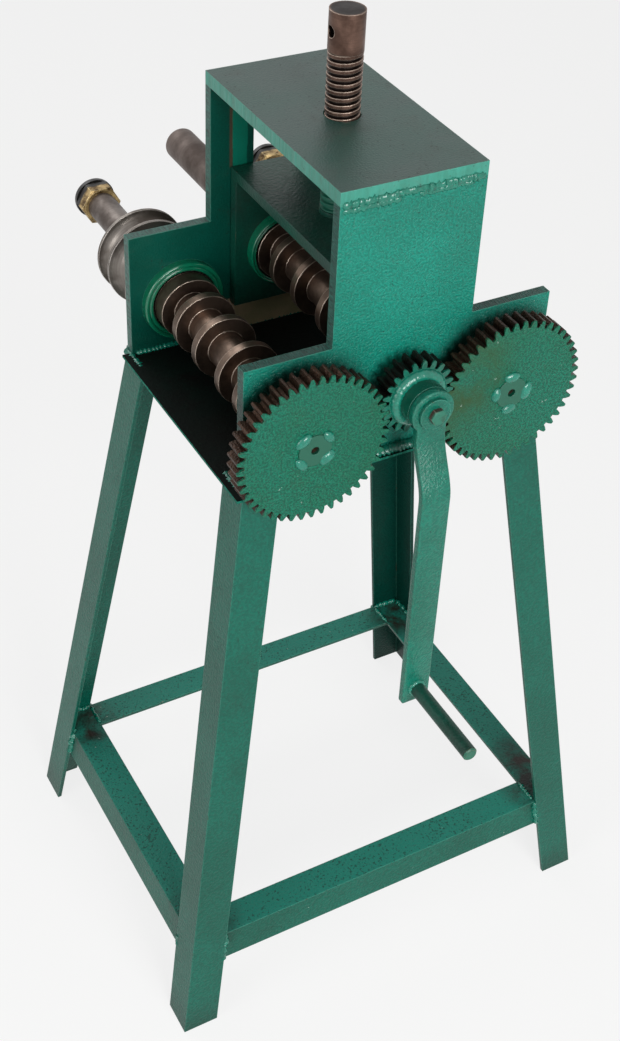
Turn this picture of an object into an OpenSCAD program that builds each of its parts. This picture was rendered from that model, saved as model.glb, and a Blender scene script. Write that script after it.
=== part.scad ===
// Hand-cranked three-roll pipe bender on its own angle-iron floor stand.
// X runs along the gear plate, Y from the crank to the back, Z up from the floor.
// Lengths along the shafts are counted from the outer face of the front plate.

/* [Stand] */
// Width of a leg's flange
leg_w = 36; // [28:1:45]
// Thickness of a leg's flange
leg_t = 4; // [3:0.5:6]
// Outer corner of a foot from the middle, across
foot_x = 238; // [210:1:270]
// Outer corner of a foot from the middle, front to back
foot_y = 190; // [165:1:220]
// How far a leg's top stays inside the plates' side edges
leg_inset = 0; // [0:0.5:6]
// Outer corner of a leg's top from the middle, front to back
leg_top_y = 120; // [110:1:124]
// Top of the lower rails above the floor
rail_top_z = 109; // [80:1:200]
// Width of a rail's flange
rail_w = 32; // [25:1:45]
// Thickness of a rail's flange
rail_t = 4; // [3:0.5:6]

/* [Head] */
// Top of the deck plate above the floor
deck_z = 613.5; // [560:0.5:680]
// Thickness of the deck plate
deck_t = 2.5; // [2:0.5:8]
// Edge of the deck beyond the plates' sides
deck_edge = 8.5; // [5:0.5:20]
// Edge of the deck in front of the front plate
deck_front = 9; // [4:0.5:12]
// How far the deck reaches under the rear plate
deck_under = 3; // [2:0.5:9]
// Thickness of the front and rear plates
plate_t = 10; // [8:0.5:12]
// Clear space between the front and rear plates
plate_gap = 216; // [210:1:240]
// Plate beyond a lower shaft's axis
side_w = 50.5; // [46:0.5:54]
// Plate beyond the guide bars, above the shoulders
upper_edge = 11.2; // [8:0.2:16]
// Height of the shoulders above the deck
shoulder_h = 120.5; // [112:0.5:130]
// Height of the plates above the deck
plate_h = 248.5; // [236:0.5:270]
// Thickness of the top plate
top_t = 12; // [8:0.5:16]

/* [Gears] */
// Gear module
gear_module = 3; // [2.8:0.05:3.1]
// Teeth on each large gear
gear_teeth = 45; // [44:1:46]
// Least teeth on the pinion
pinion_teeth = 21; // [20:1:22]
// Distance between the two large gears' axes
gear_spacing = 192; // [188:1:194]
// Height of the large gears' axes above the deck
axis_h = 48.5; // [45:0.5:52]
// Width of the gear teeth
gear_w = 18; // [14:0.5:20]
// Gap between the front plate and the gears
gear_gap = 12; // [10:0.5:14]
// Free play between meshing teeth
backlash = 0.3; // [0.2:0.05:0.5]

/* [Shafts and bearings] */
// Diameter of the roller shafts
shaft_d = 30; // [28:0.5:32]
// How far a lower shaft's front end stands out of its gear
end_proud = 1; // [0.5:0.25:2]
// Diameter of a lower shaft's thin rear end
shaft_end_d = 24; // [22:0.5:26]
// Diameter of the middle shaft's free rear bar
bar_d = 33; // [32.5:0.5:34]
// Rounding of that bar's end
bar_round = 3; // [2:0.5:5]
// How far the shafts reach behind the front plate's outer face
shaft_reach = 440; // [430:1:460]
// Outer diameter of a ball bearing
bearing_od = 62; // [60:0.5:66]
// Width of a ball bearing
bearing_w = 16; // [14:0.5:18]
// Diameter of a bearing ball
ball_d = 9.5; // [8.5:0.1:10]
// Balls in one bearing
ball_count = 9; // [7:1:9]
// Outer diameter of a bearing housing
housing_od = 78; // [74:0.5:80]
// How far a housing stands out of the plate's inner face
housing_lip = 8; // [6:0.5:10]
// Thickness of the ledge that a bearing rests on
ledge_t = 3; // [2:0.5:4]
// Bore of that ledge
ledge_bore = 48; // [44:0.5:50]

/* [Rollers] */
// Outer diameter of the inner rollers
roller_d = 59; // [56:0.5:62]
// Widths of the inner rollers' square grooves, front to back
groove_w = [19.5, 26, 38, 32, 22]; // [16:0.5:40]
// Width of the rims between those grooves
rim_w = 8; // [6:0.5:9]
// Width of the front rim of the lower rollers
front_rim = 18; // [15:0.5:19]
// Diameter of the inner rollers at the bottom of their grooves
core_d = 34; // [33:0.5:38]
// Gap between a roller's end rim and its bearing
end_gap = 1.5; // [1:0.1:2]
// Width of a rear die's flat rim
rim_land = 3; // [2:0.25:4]
// Diameter of the bosses of the gears and the rear dies
boss_d = 38; // [37:0.5:39]
// Outer diameter of the rear dies
die_d = 87; // [82:0.5:90]
// Distance from rim to rim along a rear die, front to back
die_pitch = [41.5, 23.5]; // [20:0.5:45]
// Depth of each groove of a rear die
die_depth = [16, 10]; // [8:0.5:17]
// Length of a die's front boss
die_boss = 15; // [12:0.5:20]
// Outer diameter of the spacer sleeve behind a die
sleeve_d = 28.5; // [27.5:0.25:34]
// Width across flats of a lock nut
nut_flats = 36; // [34:0.5:41]
// Height of a lock nut's hexagon
nut_h = 17; // [15:0.5:22]
// Height of a lock nut's plastic insert
insert_h = 7; // [4:0.5:8]
// Diameter of that insert
insert_d = 40; // [34:0.5:42]
// Shaft end that stands out of the lock nut
thread_end = 2.5; // [1:0.5:5]

/* [Carriage] */
// Gap between a guide bar and the lower bearing housings
housing_gap = 1.2; // [0.8:0.1:2]
// Top of the carriage above the deck
carriage_h = 171.5; // [165:0.5:175]
// Thickness of the carriage's top and cheeks
carriage_t = 10; // [8:0.5:11]
// Bottom of the cheeks above the deck
cheek_h = 33.5; // [30:0.5:36]
// Height of the middle shaft's axis above the deck
middle_h = 87.5; // [84:0.5:88]
// Drop of the carriage from where it stands
lift_down = 26; // [20:1:26]
// Width of the slot in the rear plate
slot_w = 50; // [48:0.5:52]
// Top of that slot below the plate's top edge
slot_top = 17; // [15:1:40]
// Thickness of the ledge in the carriage's housings
carriage_ledge = 2; // [1.5:0.25:2.5]
// How far the rear housing's nose stands out of the rear plate
nose_out = 2; // [1:0.5:4]
// Width of a guide bar on the front plate
guide_w = 8; // [6:0.5:8.5]
// Depth of a guide bar
guide_d = 12; // [10:0.5:14]

/* [Press screw] */
// Outer diameter of the thread
screw_d = 30; // [28:0.5:32]
// Depth of the thread
thread_depth = 3; // [2.5:0.1:3.5]
// Pitch of the thread
screw_pitch = 6; // [5:0.5:7]
// Width of the thread's crest
crest_w = 2.9; // [2:0.1:3]
// How far the thread's crest stays below the head's surface
crest_drop = 0.2; // [0.1:0.05:0.3]
// Length of the thread above the carriage
thread_len = 140; // [134:1:150]
// Length of the plain head
head_len = 34; // [28:1:45]
// Diameter of the cross hole in the head
cross_hole_d = 10; // [8:0.5:14]
// Diameter of the screw's tip
tip_d = 20; // [16:0.5:22]
// Outer diameter of the nut under the top plate
screw_nut_d = 54; // [48:1:60]
// Height of that nut
screw_nut_h = 24; // [18:1:26]
// Outer diameter of the thrust washer
thrust_d = 31; // [28:0.5:44]
// Thickness of the thrust washer
thrust_t = 4; // [3:0.5:5]
// Diameter of the collar on the tip
collar_d = 34; // [30:1:40]
// Height of the collar
collar_h = 12; // [10:0.5:14]
// Diameter of the pin through the collar
pin_d = 6; // [4:0.5:7]

/* [Crank] */
// Diameter of the stub axle
axle_d = 20; // [18:0.5:22]
// Wall of the bronze bush on the axle
bush_wall = 2.5; // [2:0.25:3]
// Outer diameter of the crank's hub
hub_d = 40; // [36:0.5:44]
// Diameter of the crank arm's eye
eye_d = 40; // [36:0.5:44]
// Width of the crank arm
arm_w = 28; // [24:0.5:34]
// Thickness of the crank arm
arm_t = 8; // [6:0.5:10]
// Rear face of the eye in front of the plate
eye_reach = 47; // [42:0.5:52]
// How far the arm steps forward
arm_step = 18; // [10:0.5:24]
// Where the step starts below the axis
step_start = 26; // [22:1:40]
// Height of the step
step_h = 52; // [40:1:70]
// Length of the arm below the axis
arm_len = 317; // [260:1:340]
// Height of the handle above the arm's end
handle_up = 16; // [12:0.5:30]
// Diameter of the handle
handle_d = 14; // [12:0.5:18]
// How far the handle reaches in front of the plate
handle_reach = 166; // [140:1:180]
// Diameter of the axle's washer
washer_d = 29; // [26:0.5:34]
// Thickness of the washer
washer_t = 3; // [2:0.5:4]
// Diameter of the axle's bolt
bolt_d = 8; // [6:0.5:10]
// Width across flats of the bolt's head
bolt_flats = 13; // [12:0.5:16]
// Height of the bolt's head
bolt_head_h = 5.4; // [4:0.2:7]
// Length of the bolt in the axle
bolt_len = 25; // [20:1:35]

/* [Keys] */
// Width and height of a roller's key
roller_key = 7; // [5:0.5:8]
// Length of a roller's key
roller_key_len = 14; // [10:1:15]
// Width and height of a die's key
die_key = 6; // [5:0.5:7]
// Length of a die's key
die_key_len = 30; // [20:1:40]
// Thickness of the middle shaft's spring ring
circlip_t = 1.2; // [1:0.1:1.5]
// Width of the opening in the spring ring
circlip_gap = 8; // [6:0.5:10]
// Depth of the spring ring's groove
circlip_depth = 0.7; // [0.5:0.1:1]

/* [Clearances] */
// Running clearance of the crank's bush on its axle
running_clear = 0.05; // [0.03:0.01:0.1]
// Gap between sliding or turning faces
slide_clear = 0.3; // [0.2:0.05:0.5]
// Gap between the carriage and the plates
carriage_clear = 1.5; // [1:0.1:2]
// Gap between the thread and its nut
thread_clear = 0.35; // [0.25:0.05:0.5]

/* [Hidden] */
$fn = 64;

enamel = "seagreen";
bare_steel = "#6b5148";
oily_steel = "#4a3b33";
bright_steel = "silver";
zinc = "#b8965a";
bronze = "#a07a3c";
plastic = "#202020";
over = 1;
thread_sides = 24;
flank_steps = 5;
pressure_angle = 20;
dedendum = 1.25;
thread_flank = 15;
race_share = 0.3;
chamfer_share = 0.95;
cheek_share = 0.27;

// Places along the shafts, counted from the front plate's outer face
front_y = -(shaft_reach - handle_reach) / 2;
rear_in = plate_t + plate_gap;
rear_out = rear_in + plate_t;
mid_y = rear_out / 2;
gear_back = -gear_gap;
gear_front = gear_back - gear_w;
front_race = [plate_t + housing_lip - ledge_t - bearing_w, plate_t + housing_lip - ledge_t];
rear_race = [rear_out - front_race[1], rear_out - front_race[0]];
cheek_front = [plate_t + carriage_clear, plate_t + carriage_clear + carriage_t];
cheek_rear = [rear_out - cheek_front[1], rear_out - cheek_front[0]];
mid_front_race = [cheek_front[0] + carriage_ledge, cheek_front[0] + carriage_ledge + bearing_w];
mid_rear_race = [rear_out - mid_front_race[1], rear_out - mid_front_race[0]];
cup_depth = carriage_ledge + bearing_w + carriage_ledge;
groove_start = front_race[1] + end_gap + front_rim;
die_rim = rear_race[1] + die_boss + rim_land / 2;
nut_back = shaft_reach - thread_end;
nut_front = nut_back - insert_h - nut_h;
die_back = die_rim + sum(die_pitch) + rim_land / 2;

// Heights
leg_top_z = deck_z - deck_t;
plate_top = deck_z + plate_h;
gear_z = deck_z + axis_h;
pinion_count = max(pinion_teeth, ceil(gear_spacing / gear_module - gear_teeth) + 1);
mesh_dist = gear_module * (gear_teeth + pinion_count) / 2;
pinion_rise = sqrt(pow(mesh_dist, 2) - pow(gear_spacing / 2, 2));
pinion_z = gear_z + pinion_rise;
middle_z = deck_z + middle_h;
carriage_z = deck_z + carriage_h;
cheek_z = deck_z + cheek_h;
thrust_z = carriage_z + thrust_t;
thread_z = thrust_z + slide_clear;
head_z = thread_z + thread_len;
collar_z = carriage_z - carriage_t - slide_clear;

// Widths, from the lower shafts inwards and outwards
carriage_half_w = gear_spacing / 2 - housing_od / 2 - housing_gap - guide_w - slide_clear;
guide_x = carriage_half_w + slide_clear + guide_w / 2;
upper_half_w = guide_x + guide_w / 2 + upper_edge;
lower_half_w = gear_spacing / 2 + side_w;
deck_half_w = lower_half_w + deck_edge;
leg_top_x = lower_half_w - leg_inset;
cup_od = bearing_od + (2 * carriage_half_w - bearing_od) * cheek_share;

// Turning parts of the bearings
ball_circle = (shaft_d + bearing_od) / 4;
race_wall = (bearing_od - shaft_d) / 2 * race_share;
nose_d = slot_w - 2 * slide_clear;
nose_end = rear_out + nose_out;
hub_bore = axle_d + 2 * (running_clear + bush_wall);
circlip_bore = shaft_d - 2 * circlip_depth;
circlip_place = [mid_front_race[0] - circlip_t, mid_front_race[0]];

// Meshing: a tooth of the left gear points at the pinion, and the right gear follows the pinion
mesh_angle = atan2(pinion_rise, gear_spacing / 2);
pinion_step = 360 / pinion_count;
left_phase = mesh_angle;
pinion_phase = 180 + mesh_angle + pinion_step / 2;
mesh_rest = ((-mesh_angle - pinion_phase) % pinion_step + pinion_step) % pinion_step;
right_phase = 180 - mesh_angle + mesh_rest * pinion_count / gear_teeth + 180 / gear_teeth;

function sum(v, i = 0) = i < len(v) ? v[i] + sum(v, i + 1) : 0;
function part_sum(v, n) = n > 0 ? v[n - 1] + part_sum(v, n - 1) : 0;
function mix(a, b, t) = a + (b - a) * t;

// Angle between a tooth's centre line and its flank at radius r
function roll_angle(a) = (tan(a) - a * PI / 180) * 180 / PI;
function flank_angle(teeth, r) =
  let (pitch_r = gear_module * teeth / 2, base_r = pitch_r * cos(pressure_angle))
  90 / teeth - backlash / 4 / pitch_r * 180 / PI
  + roll_angle(pressure_angle) - roll_angle(acos(min(1, base_r / r)));
function gear_outline(teeth, phase) =
  let (
    pitch_r = gear_module * teeth / 2,
    base_r = pitch_r * cos(pressure_angle),
    root_r = pitch_r - dedendum * gear_module,
    start_r = max(base_r, root_r),
    tip_r = pitch_r + gear_module,
    radii = [for (k = [0:flank_steps]) mix(start_r, tip_r, k / flank_steps)],
    foot = flank_angle(teeth, start_r)
  )
  [for (i = [0:teeth - 1], side = [-1, 1], k = [0:flank_steps + 1])
    let (
      n = side < 0 ? k - 1 : flank_steps - k,
      in_root = n < 0,
      r = in_root ? root_r : radii[n],
      a = phase + 360 * i / teeth + side * (in_root ? foot : flank_angle(teeth, r))
    )
    [r * cos(a), r * sin(a)]];

// Points of the thread's ridge, one profile of four points at each step round the helix
function thread_points(steps, grow) =
  let (
    flank = thread_depth * tan(thread_flank),
    root_r = screw_d / 2 - thread_depth + grow,
    tip_r = screw_d / 2 - crest_drop + grow,
    profile = [
      [root_r, -grow], [tip_r, flank - grow],
      [tip_r, flank + crest_w + grow], [root_r, 2 * flank + crest_w + grow]
    ]
  )
  [for (s = [0:steps], p = profile)
    let (a = 360 * s / thread_sides)
    [p[0] * cos(a), p[0] * sin(a), p[1] + screw_pitch * s / thread_sides]];

// Stands a shape turned about Z along Y, on the axis at x and z
module along_y(x, z) {
  translate([x, front_y, z]) rotate([-90, 0, 0]) children();
}

// Plain round piece from one place along its axis to another
module rod(d, from, to) {
  translate([0, 0, from]) cylinder(d = d, h = to - from);
}

// Flat outline in X and Z, from one place along Y to another
module slab(from, to) {
  translate([0, front_y + to, 0]) rotate([90, 0, 0]) linear_extrude(to - from) children();
}

// Outline that leans with the legs on one side of the stand, between two depths in from their outer corner
function leaning(s, low, high, from, to) =
  [for (p = [[low - from, 0], [low - to, 0], [high - to, leg_top_z], [high - from, leg_top_z]])
    [s * p[0], p[1]]];

// Leaning wall on the left or right, over the stand's whole depth
module side_wall(s, from, to) {
  half = foot_y + over;
  translate([0, half, 0]) rotate([90, 0, 0])
    linear_extrude(2 * half) polygon(leaning(s, foot_x, leg_top_x, from, to));
}

// Leaning wall at the front or back, over the stand's whole width
module end_wall(s, from, to) {
  half = foot_x + over;
  translate([-half, 0, 0]) rotate([90, 0, 90])
    linear_extrude(2 * half) polygon(leaning(s, foot_y, leg_top_y, from, to));
}

// Splayed angle-iron leg, in the corner given by the signs
module leg(sx, sy) {
  color(enamel) translate([0, front_y + mid_y, 0]) {
    intersection() {
      side_wall(sx, 0, leg_w);
      end_wall(sy, 0, leg_t);
    }
    intersection() {
      side_wall(sx, 0, leg_t);
      end_wall(sy, 0, leg_w);
    }
  }
}

// Slice of the stand between two heights
module level_band(low, high) {
  translate([-foot_x - over, -foot_y - over, low])
    cube([2 * (foot_x + over), 2 * (foot_y + over), high - low]);
}

// Angle-iron rail on the left or right, running through between the uprights of the front and back rails
module side_rail(s) {
  color(enamel) translate([0, front_y + mid_y, 0]) difference() {
    union() {
      intersection() {
        side_wall(s, leg_t, leg_t + rail_t);
        level_band(rail_top_z - rail_w, rail_top_z);
      }
      intersection() {
        side_wall(s, leg_t, leg_t + rail_w);
        level_band(rail_top_z - rail_t, rail_top_z);
      }
    }
    for (e = [-1, 1]) end_wall(e, -foot_y, leg_t + rail_t);
  }
}

// Angle-iron rail at the front or back: its upright meets the legs, its top flange the side rails
module end_rail(s) {
  color(enamel) translate([0, front_y + mid_y, 0]) {
    difference() {
      intersection() {
        end_wall(s, leg_t, leg_t + rail_t);
        level_band(rail_top_z - rail_w, rail_top_z);
      }
      for (e = [-1, 1]) side_wall(e, -foot_x, leg_t);
    }
    difference() {
      intersection() {
        end_wall(s, leg_t, leg_t + rail_w);
        level_band(rail_top_z - rail_t, rail_top_z);
      }
      for (e = [-1, 1]) side_wall(e, -foot_x, leg_t + rail_w);
    }
  }
}

// Outline of the front and rear plates
module plate_outline() {
  polygon([
    [-lower_half_w, deck_z], [lower_half_w, deck_z],
    [lower_half_w, deck_z + shoulder_h], [upper_half_w, deck_z + shoulder_h],
    [upper_half_w, plate_top], [-upper_half_w, plate_top],
    [-upper_half_w, deck_z + shoulder_h], [-lower_half_w, deck_z + shoulder_h]
  ]);
}

// The two places of the lower shafts, with a shape at each
module at_lower_shafts() {
  for (s = [-1, 1]) along_y(s * gear_spacing / 2, gear_z) children();
}

// Bearing housing: a cup with two round ridges at its mouth, at the back, and a ledge at the front
module housing(od, from, to, ledge, bore) {
  ridge = (od - bearing_od) / 8;
  difference() {
    union() {
      rod(od, from, to - ridge);
      for (i = [1, 3])
        rotate_extrude() translate([bearing_od / 2 + i * ridge, to - ridge]) circle(r = ridge);
    }
    rod(bearing_od, from + ledge, to + over);
    rod(bore, from - over, to);
  }
}

// The same housing with its mouth to the front
module housing_mirrored(od, from, to, ledge, bore) {
  translate([0, 0, from + to]) mirror([0, 0, 1]) housing(od, from, to, ledge, bore);
}

// Rings of a ball bearing, with the groove that the balls roll in
module race(place, inner, outer) {
  rotate_extrude() difference() {
    translate([inner, place[0]]) square([outer - inner, bearing_w]);
    translate([ball_circle, (place[0] + place[1]) / 2]) circle(d = ball_d + 2 * slide_clear);
  }
}

module outer_race(place) {
  race(place, bearing_od / 2 - race_wall, bearing_od / 2);
}

module inner_race(place) {
  race(place, shaft_d / 2, shaft_d / 2 + race_wall);
}

module balls(place) {
  for (i = [0:ball_count - 1])
    rotate([0, 0, 360 * i / ball_count])
      translate([ball_circle, 0, (place[0] + place[1]) / 2]) sphere(d = ball_d);
}

// Spool with round grooves between its rims
module grooved(from_rim, pitches, depths, d) {
  difference() {
    translate([0, from_rim - rim_land / 2]) square([d / 2, sum(pitches) + rim_land]);
    for (i = [0:len(pitches) - 1]) {
      half = (pitches[i] - rim_land) / 2;
      r = (pow(half, 2) + pow(depths[i], 2)) / (2 * depths[i]);
      middle = from_rim + part_sum(pitches, i) + pitches[i] / 2;
      translate([d / 2 - depths[i] + r, middle]) circle(r = r, $fn = 2 * $fn);
    }
  }
}

// Roller between two bearings, with square grooves between its rims
module roller(from, to, bore) {
  n = len(groove_w);
  function groove(i) = groove_start + part_sum(groove_w, i) + i * rim_w;
  difference() {
    union() {
      rod(core_d, from, to);
      rod(roller_d, from + end_gap, groove(0));
      for (i = [1:n - 1]) rod(roller_d, groove(i) - rim_w, groove(i));
      rod(roller_d, groove(n) - rim_w, to - end_gap);
    }
    rod(bore, from - over, to + over);
  }
}

// Hexagon of a nut or bolt, chamfered at both ends
module hexagon(flats, h) {
  corner = flats / 2 / cos(30);
  face = flats / 2 * chamfer_share;
  rise = (corner - face) * tan(30);
  intersection() {
    cylinder(r = corner, h = h, $fn = 6);
    rotate_extrude()
      polygon([[0, 0], [face, 0], [corner, rise], [corner, h - rise], [face, h], [0, h]]);
  }
}

// Key that stands half in a shaft, between two places along it
module key(size, d, from, to) {
  translate([-size / 2, -d / 2 - size / 2, from]) cube([size, size, to - from]);
}

module roller_key_solid() {
  key(roller_key, shaft_d, rear_race[0] - end_gap - roller_key_len, rear_race[0] - end_gap);
}

module die_key_solid() {
  key(die_key, shaft_end_d, die_rim, die_rim + die_key_len);
}

// Lower shaft with its keyways and the centre hole in its front end
module lower_shaft(s) {
  centre_d = shaft_d / 4;
  color(oily_steel) along_y(s * gear_spacing / 2, gear_z) difference() {
    union() {
      rod(shaft_d, gear_front - end_proud, rear_race[1]);
      rod(shaft_end_d, rear_race[1], shaft_reach);
    }
    rod(centre_d, gear_front - end_proud - over, gear_front + centre_d);
    roller_key_solid();
    die_key_solid();
  }
}

// Large gear with a hub behind it that bears on the front bearing
module lower_gear(s, phase) {
  color(enamel) difference() {
    union() {
      translate([s * gear_spacing / 2, 0, gear_z])
        slab(gear_front, gear_back) polygon(gear_outline(gear_teeth, phase));
      along_y(s * gear_spacing / 2, gear_z) rod(boss_d, gear_back, front_race[0]);
    }
    along_y(s * gear_spacing / 2, gear_z) rod(shaft_d, gear_front - over, front_race[0] + over);
  }
}

module lower_roller(s) {
  color(oily_steel) along_y(s * gear_spacing / 2, gear_z) difference() {
    roller(front_race[1], rear_race[0], shaft_d);
    roller_key_solid();
  }
}

module lower_inner_races(s) {
  color(bright_steel) along_y(s * gear_spacing / 2, gear_z) {
    inner_race(front_race);
    inner_race(rear_race);
  }
}

module lower_keys(s) {
  color(bright_steel) along_y(s * gear_spacing / 2, gear_z) {
    roller_key_solid();
    die_key_solid();
  }
}

// Larger grooved die on the shaft's free rear end
module lower_die(s) {
  color(oily_steel) along_y(s * gear_spacing / 2, gear_z) difference() {
    union() {
      rotate_extrude() grooved(die_rim, die_pitch, die_depth, die_d);
      rod(boss_d, rear_race[1], die_rim);
    }
    rod(shaft_end_d, rear_race[1] - over, die_back + over);
    die_key_solid();
  }
}

module lower_sleeve(s) {
  color(bright_steel) along_y(s * gear_spacing / 2, gear_z) difference() {
    rod(sleeve_d, die_back, nut_front);
    rod(shaft_end_d, die_back - over, nut_front + over);
  }
}

module lower_nut(s) {
  color(zinc) along_y(s * gear_spacing / 2, gear_z) difference() {
    translate([0, 0, nut_front]) hexagon(nut_flats, nut_h);
    rod(shaft_end_d, nut_front - over, nut_back);
  }
}

module lower_insert(s) {
  rounding = insert_h / 2;
  color(plastic) along_y(s * gear_spacing / 2, gear_z) difference() {
    union() {
      rod(insert_d, nut_back - insert_h, nut_back - rounding);
      rotate_extrude() translate([insert_d / 2 - rounding, nut_back - rounding]) circle(r = rounding);
      rod(insert_d - 2 * rounding, nut_back - rounding, nut_back);
    }
    rod(shaft_end_d, nut_back - insert_h - over, nut_back + over);
  }
}

module lower_balls(s) {
  color(bright_steel) along_y(s * gear_spacing / 2, gear_z) {
    balls(front_race);
    balls(rear_race);
  }
}

module leg_front_left() { leg(-1, -1); }
module leg_front_right() { leg(1, -1); }
module leg_back_left() { leg(-1, 1); }
module leg_back_right() { leg(1, 1); }
module rail_front() { end_rail(-1); }
module rail_back() { end_rail(1); }
module rail_left() { side_rail(-1); }
module rail_right() { side_rail(1); }

module deck_plate() {
  color(enamel) translate([-deck_half_w, front_y - deck_front, leg_top_z])
    cube([2 * deck_half_w, deck_front + rear_in + deck_under, deck_t]);
}

module front_plate() {
  color(enamel) difference() {
    slab(0, plate_t) plate_outline();
    at_lower_shafts() rod(housing_od, -over, plate_t + over);
    along_y(0, pinion_z) rod(axle_d, -over, plate_t + over);
  }
}

// Rear plate with the slot that the middle shaft rises and falls in
module rear_plate() {
  slot_low = middle_z - lift_down - slide_clear;
  slot_high = plate_top - slot_top - slot_w / 2;
  color(enamel) difference() {
    slab(rear_in, rear_out) plate_outline();
    at_lower_shafts() rod(housing_od, rear_in - over, rear_out + over);
    along_y(0, slot_low) rod(slot_w, rear_in - over, rear_out + over);
    along_y(0, slot_high) rod(slot_w, rear_in - over, rear_out + over);
    translate([-slot_w / 2, front_y + rear_in - over, slot_low])
      cube([slot_w, plate_t + 2 * over, slot_high - slot_low]);
  }
}

module top_plate() {
  color(enamel) difference() {
    translate([-upper_half_w, front_y, plate_top]) cube([2 * upper_half_w, rear_out, top_t]);
    translate([0, front_y + mid_y, plate_top - over])
      cylinder(d = screw_d + 4 * slide_clear, h = top_t + 2 * over);
  }
}

// Two bars on the front plate that the carriage slides between
module guide_bars() {
  color(enamel) for (s = [-1, 1]) {
    translate([s * guide_x - guide_w / 2, front_y + plate_t, deck_z]) cube([guide_w, guide_d, plate_h]);
  }
}

// Threaded length between two heights, cut flat at both ends and always in step with the nut
module thread(from, to, grow) {
  turns = ceil((to - from) / screw_pitch) + 4;
  n = thread_sides;
  steps = turns * n;
  low = 4 * (steps + 1);
  high = low + 1;
  first = thread_z + screw_pitch * (floor((from - thread_z) / screw_pitch) - 2);
  points = concat(thread_points(steps, grow), [[0, 0, screw_pitch / 2], [0, 0, screw_pitch * turns]]);
  ridge = [for (s = [0:steps - 1], j = [0:2], h = [0, 1])
    let (p = 4 * s + j)
    h == 0 ? [p, p + 1, p + 5] : [p, p + 5, p + 4]];
  root = [for (s = [0:steps - n - 1], h = [0, 1])
    let (p = 4 * s + 3, q = 4 * (s + n))
    h == 0 ? [p, q, q + 4] : [p, q + 4, p + 4]];
  low_rim = concat([for (s = [0:n]) 4 * s], [3, 2, 1]);
  high_rim = concat([for (s = [steps - n:steps]) 4 * s + 3], [4 * steps + 2, 4 * steps + 1, 4 * steps]);
  ends = len(low_rim);
  low_end = [for (i = [0:ends - 1]) [low, low_rim[i], low_rim[(i + 1) % ends]]];
  high_end = [for (i = [0:ends - 1]) [high, high_rim[(i + 1) % ends], high_rim[i]]];
  intersection() {
    translate([0, 0, first]) polyhedron(points, concat(ridge, root, low_end, high_end), convexity = 10);
    translate([0, 0, from]) cylinder(d = 2 * screw_d, h = to - from);
  }
}

// Stands a shape on the press screw's axis
module on_screw() {
  translate([0, front_y + mid_y, 0]) children();
}

module screw_nut() {
  color(enamel) on_screw() difference() {
    rod(screw_nut_d, plate_top - screw_nut_h, plate_top);
    thread(plate_top - screw_nut_h - over, plate_top + over, thread_clear);
  }
}

module front_housings() {
  color(enamel) at_lower_shafts()
    housing(housing_od, front_race[0] - ledge_t, plate_t + housing_lip, ledge_t, ledge_bore);
}

module rear_housings() {
  color(enamel) at_lower_shafts()
    housing_mirrored(housing_od, rear_in - housing_lip, rear_race[1] + ledge_t, ledge_t, ledge_bore);
}

module outer_races() {
  color(bright_steel) at_lower_shafts() {
    outer_race(front_race);
    outer_race(rear_race);
  }
}

// Stub axle in the front plate, drilled for the bolt
module pinion_axle() {
  color(bright_steel) along_y(0, pinion_z) difference() {
    rod(axle_d, -eye_reach - arm_t - slide_clear, plate_t);
    rod(bolt_d, -eye_reach - arm_t - slide_clear - over, bolt_len - eye_reach - arm_t);
  }
}

module axle_bolt() {
  seat = -eye_reach - arm_t - slide_clear - washer_t;
  color(bare_steel) along_y(0, pinion_z) {
    translate([0, 0, seat - bolt_head_h]) hexagon(bolt_flats, bolt_head_h);
    rod(bolt_d, seat - over, bolt_len - eye_reach - arm_t);
  }
}

module axle_washer() {
  face = -eye_reach - arm_t - slide_clear;
  color(enamel) along_y(0, pinion_z) difference() {
    rod(washer_d, face - washer_t, face);
    rod(bolt_d, face - washer_t - over, face + over);
  }
}

module left_shaft() { lower_shaft(-1); }
module right_shaft() { lower_shaft(1); }
module left_gear() { lower_gear(-1, left_phase); }
module right_gear() { lower_gear(1, right_phase); }
module left_roller() { lower_roller(-1); }
module right_roller() { lower_roller(1); }
module left_inner_races() { lower_inner_races(-1); }
module right_inner_races() { lower_inner_races(1); }
module left_keys() { lower_keys(-1); }
module right_keys() { lower_keys(1); }
module left_die() { lower_die(-1); }
module right_die() { lower_die(1); }
module left_sleeve() { lower_sleeve(-1); }
module right_sleeve() { lower_sleeve(1); }
module left_lock_nut() { lower_nut(-1); }
module right_lock_nut() { lower_nut(1); }
module left_nut_insert() { lower_insert(-1); }
module right_nut_insert() { lower_insert(1); }
module left_balls() { lower_balls(-1); }
module right_balls() { lower_balls(1); }

module carriage_top() {
  color(enamel) difference() {
    translate([-carriage_half_w, front_y + cheek_front[0], carriage_z - carriage_t])
      cube([2 * carriage_half_w, cheek_rear[1] - cheek_front[0], carriage_t]);
    on_screw() rod(tip_d + 2 * slide_clear, carriage_z - carriage_t - over, carriage_z + over);
  }
}

// Cheek under one end of the carriage's top, bored for its bearing housing
module cheek(place) {
  color(enamel) difference() {
    translate([-carriage_half_w, front_y + place[0], cheek_z])
      cube([2 * carriage_half_w, carriage_t, carriage_z - carriage_t - cheek_z]);
    along_y(0, middle_z) rod(cup_od, place[0] - over, place[1] + over);
  }
}

module carriage_front_cheek() { cheek(cheek_front); }
module carriage_rear_cheek() { cheek(cheek_rear); }

module carriage_front_housing() {
  color(enamel) along_y(0, middle_z)
    housing(cup_od, cheek_front[0], cheek_front[0] + cup_depth, carriage_ledge, ledge_bore);
}

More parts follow.
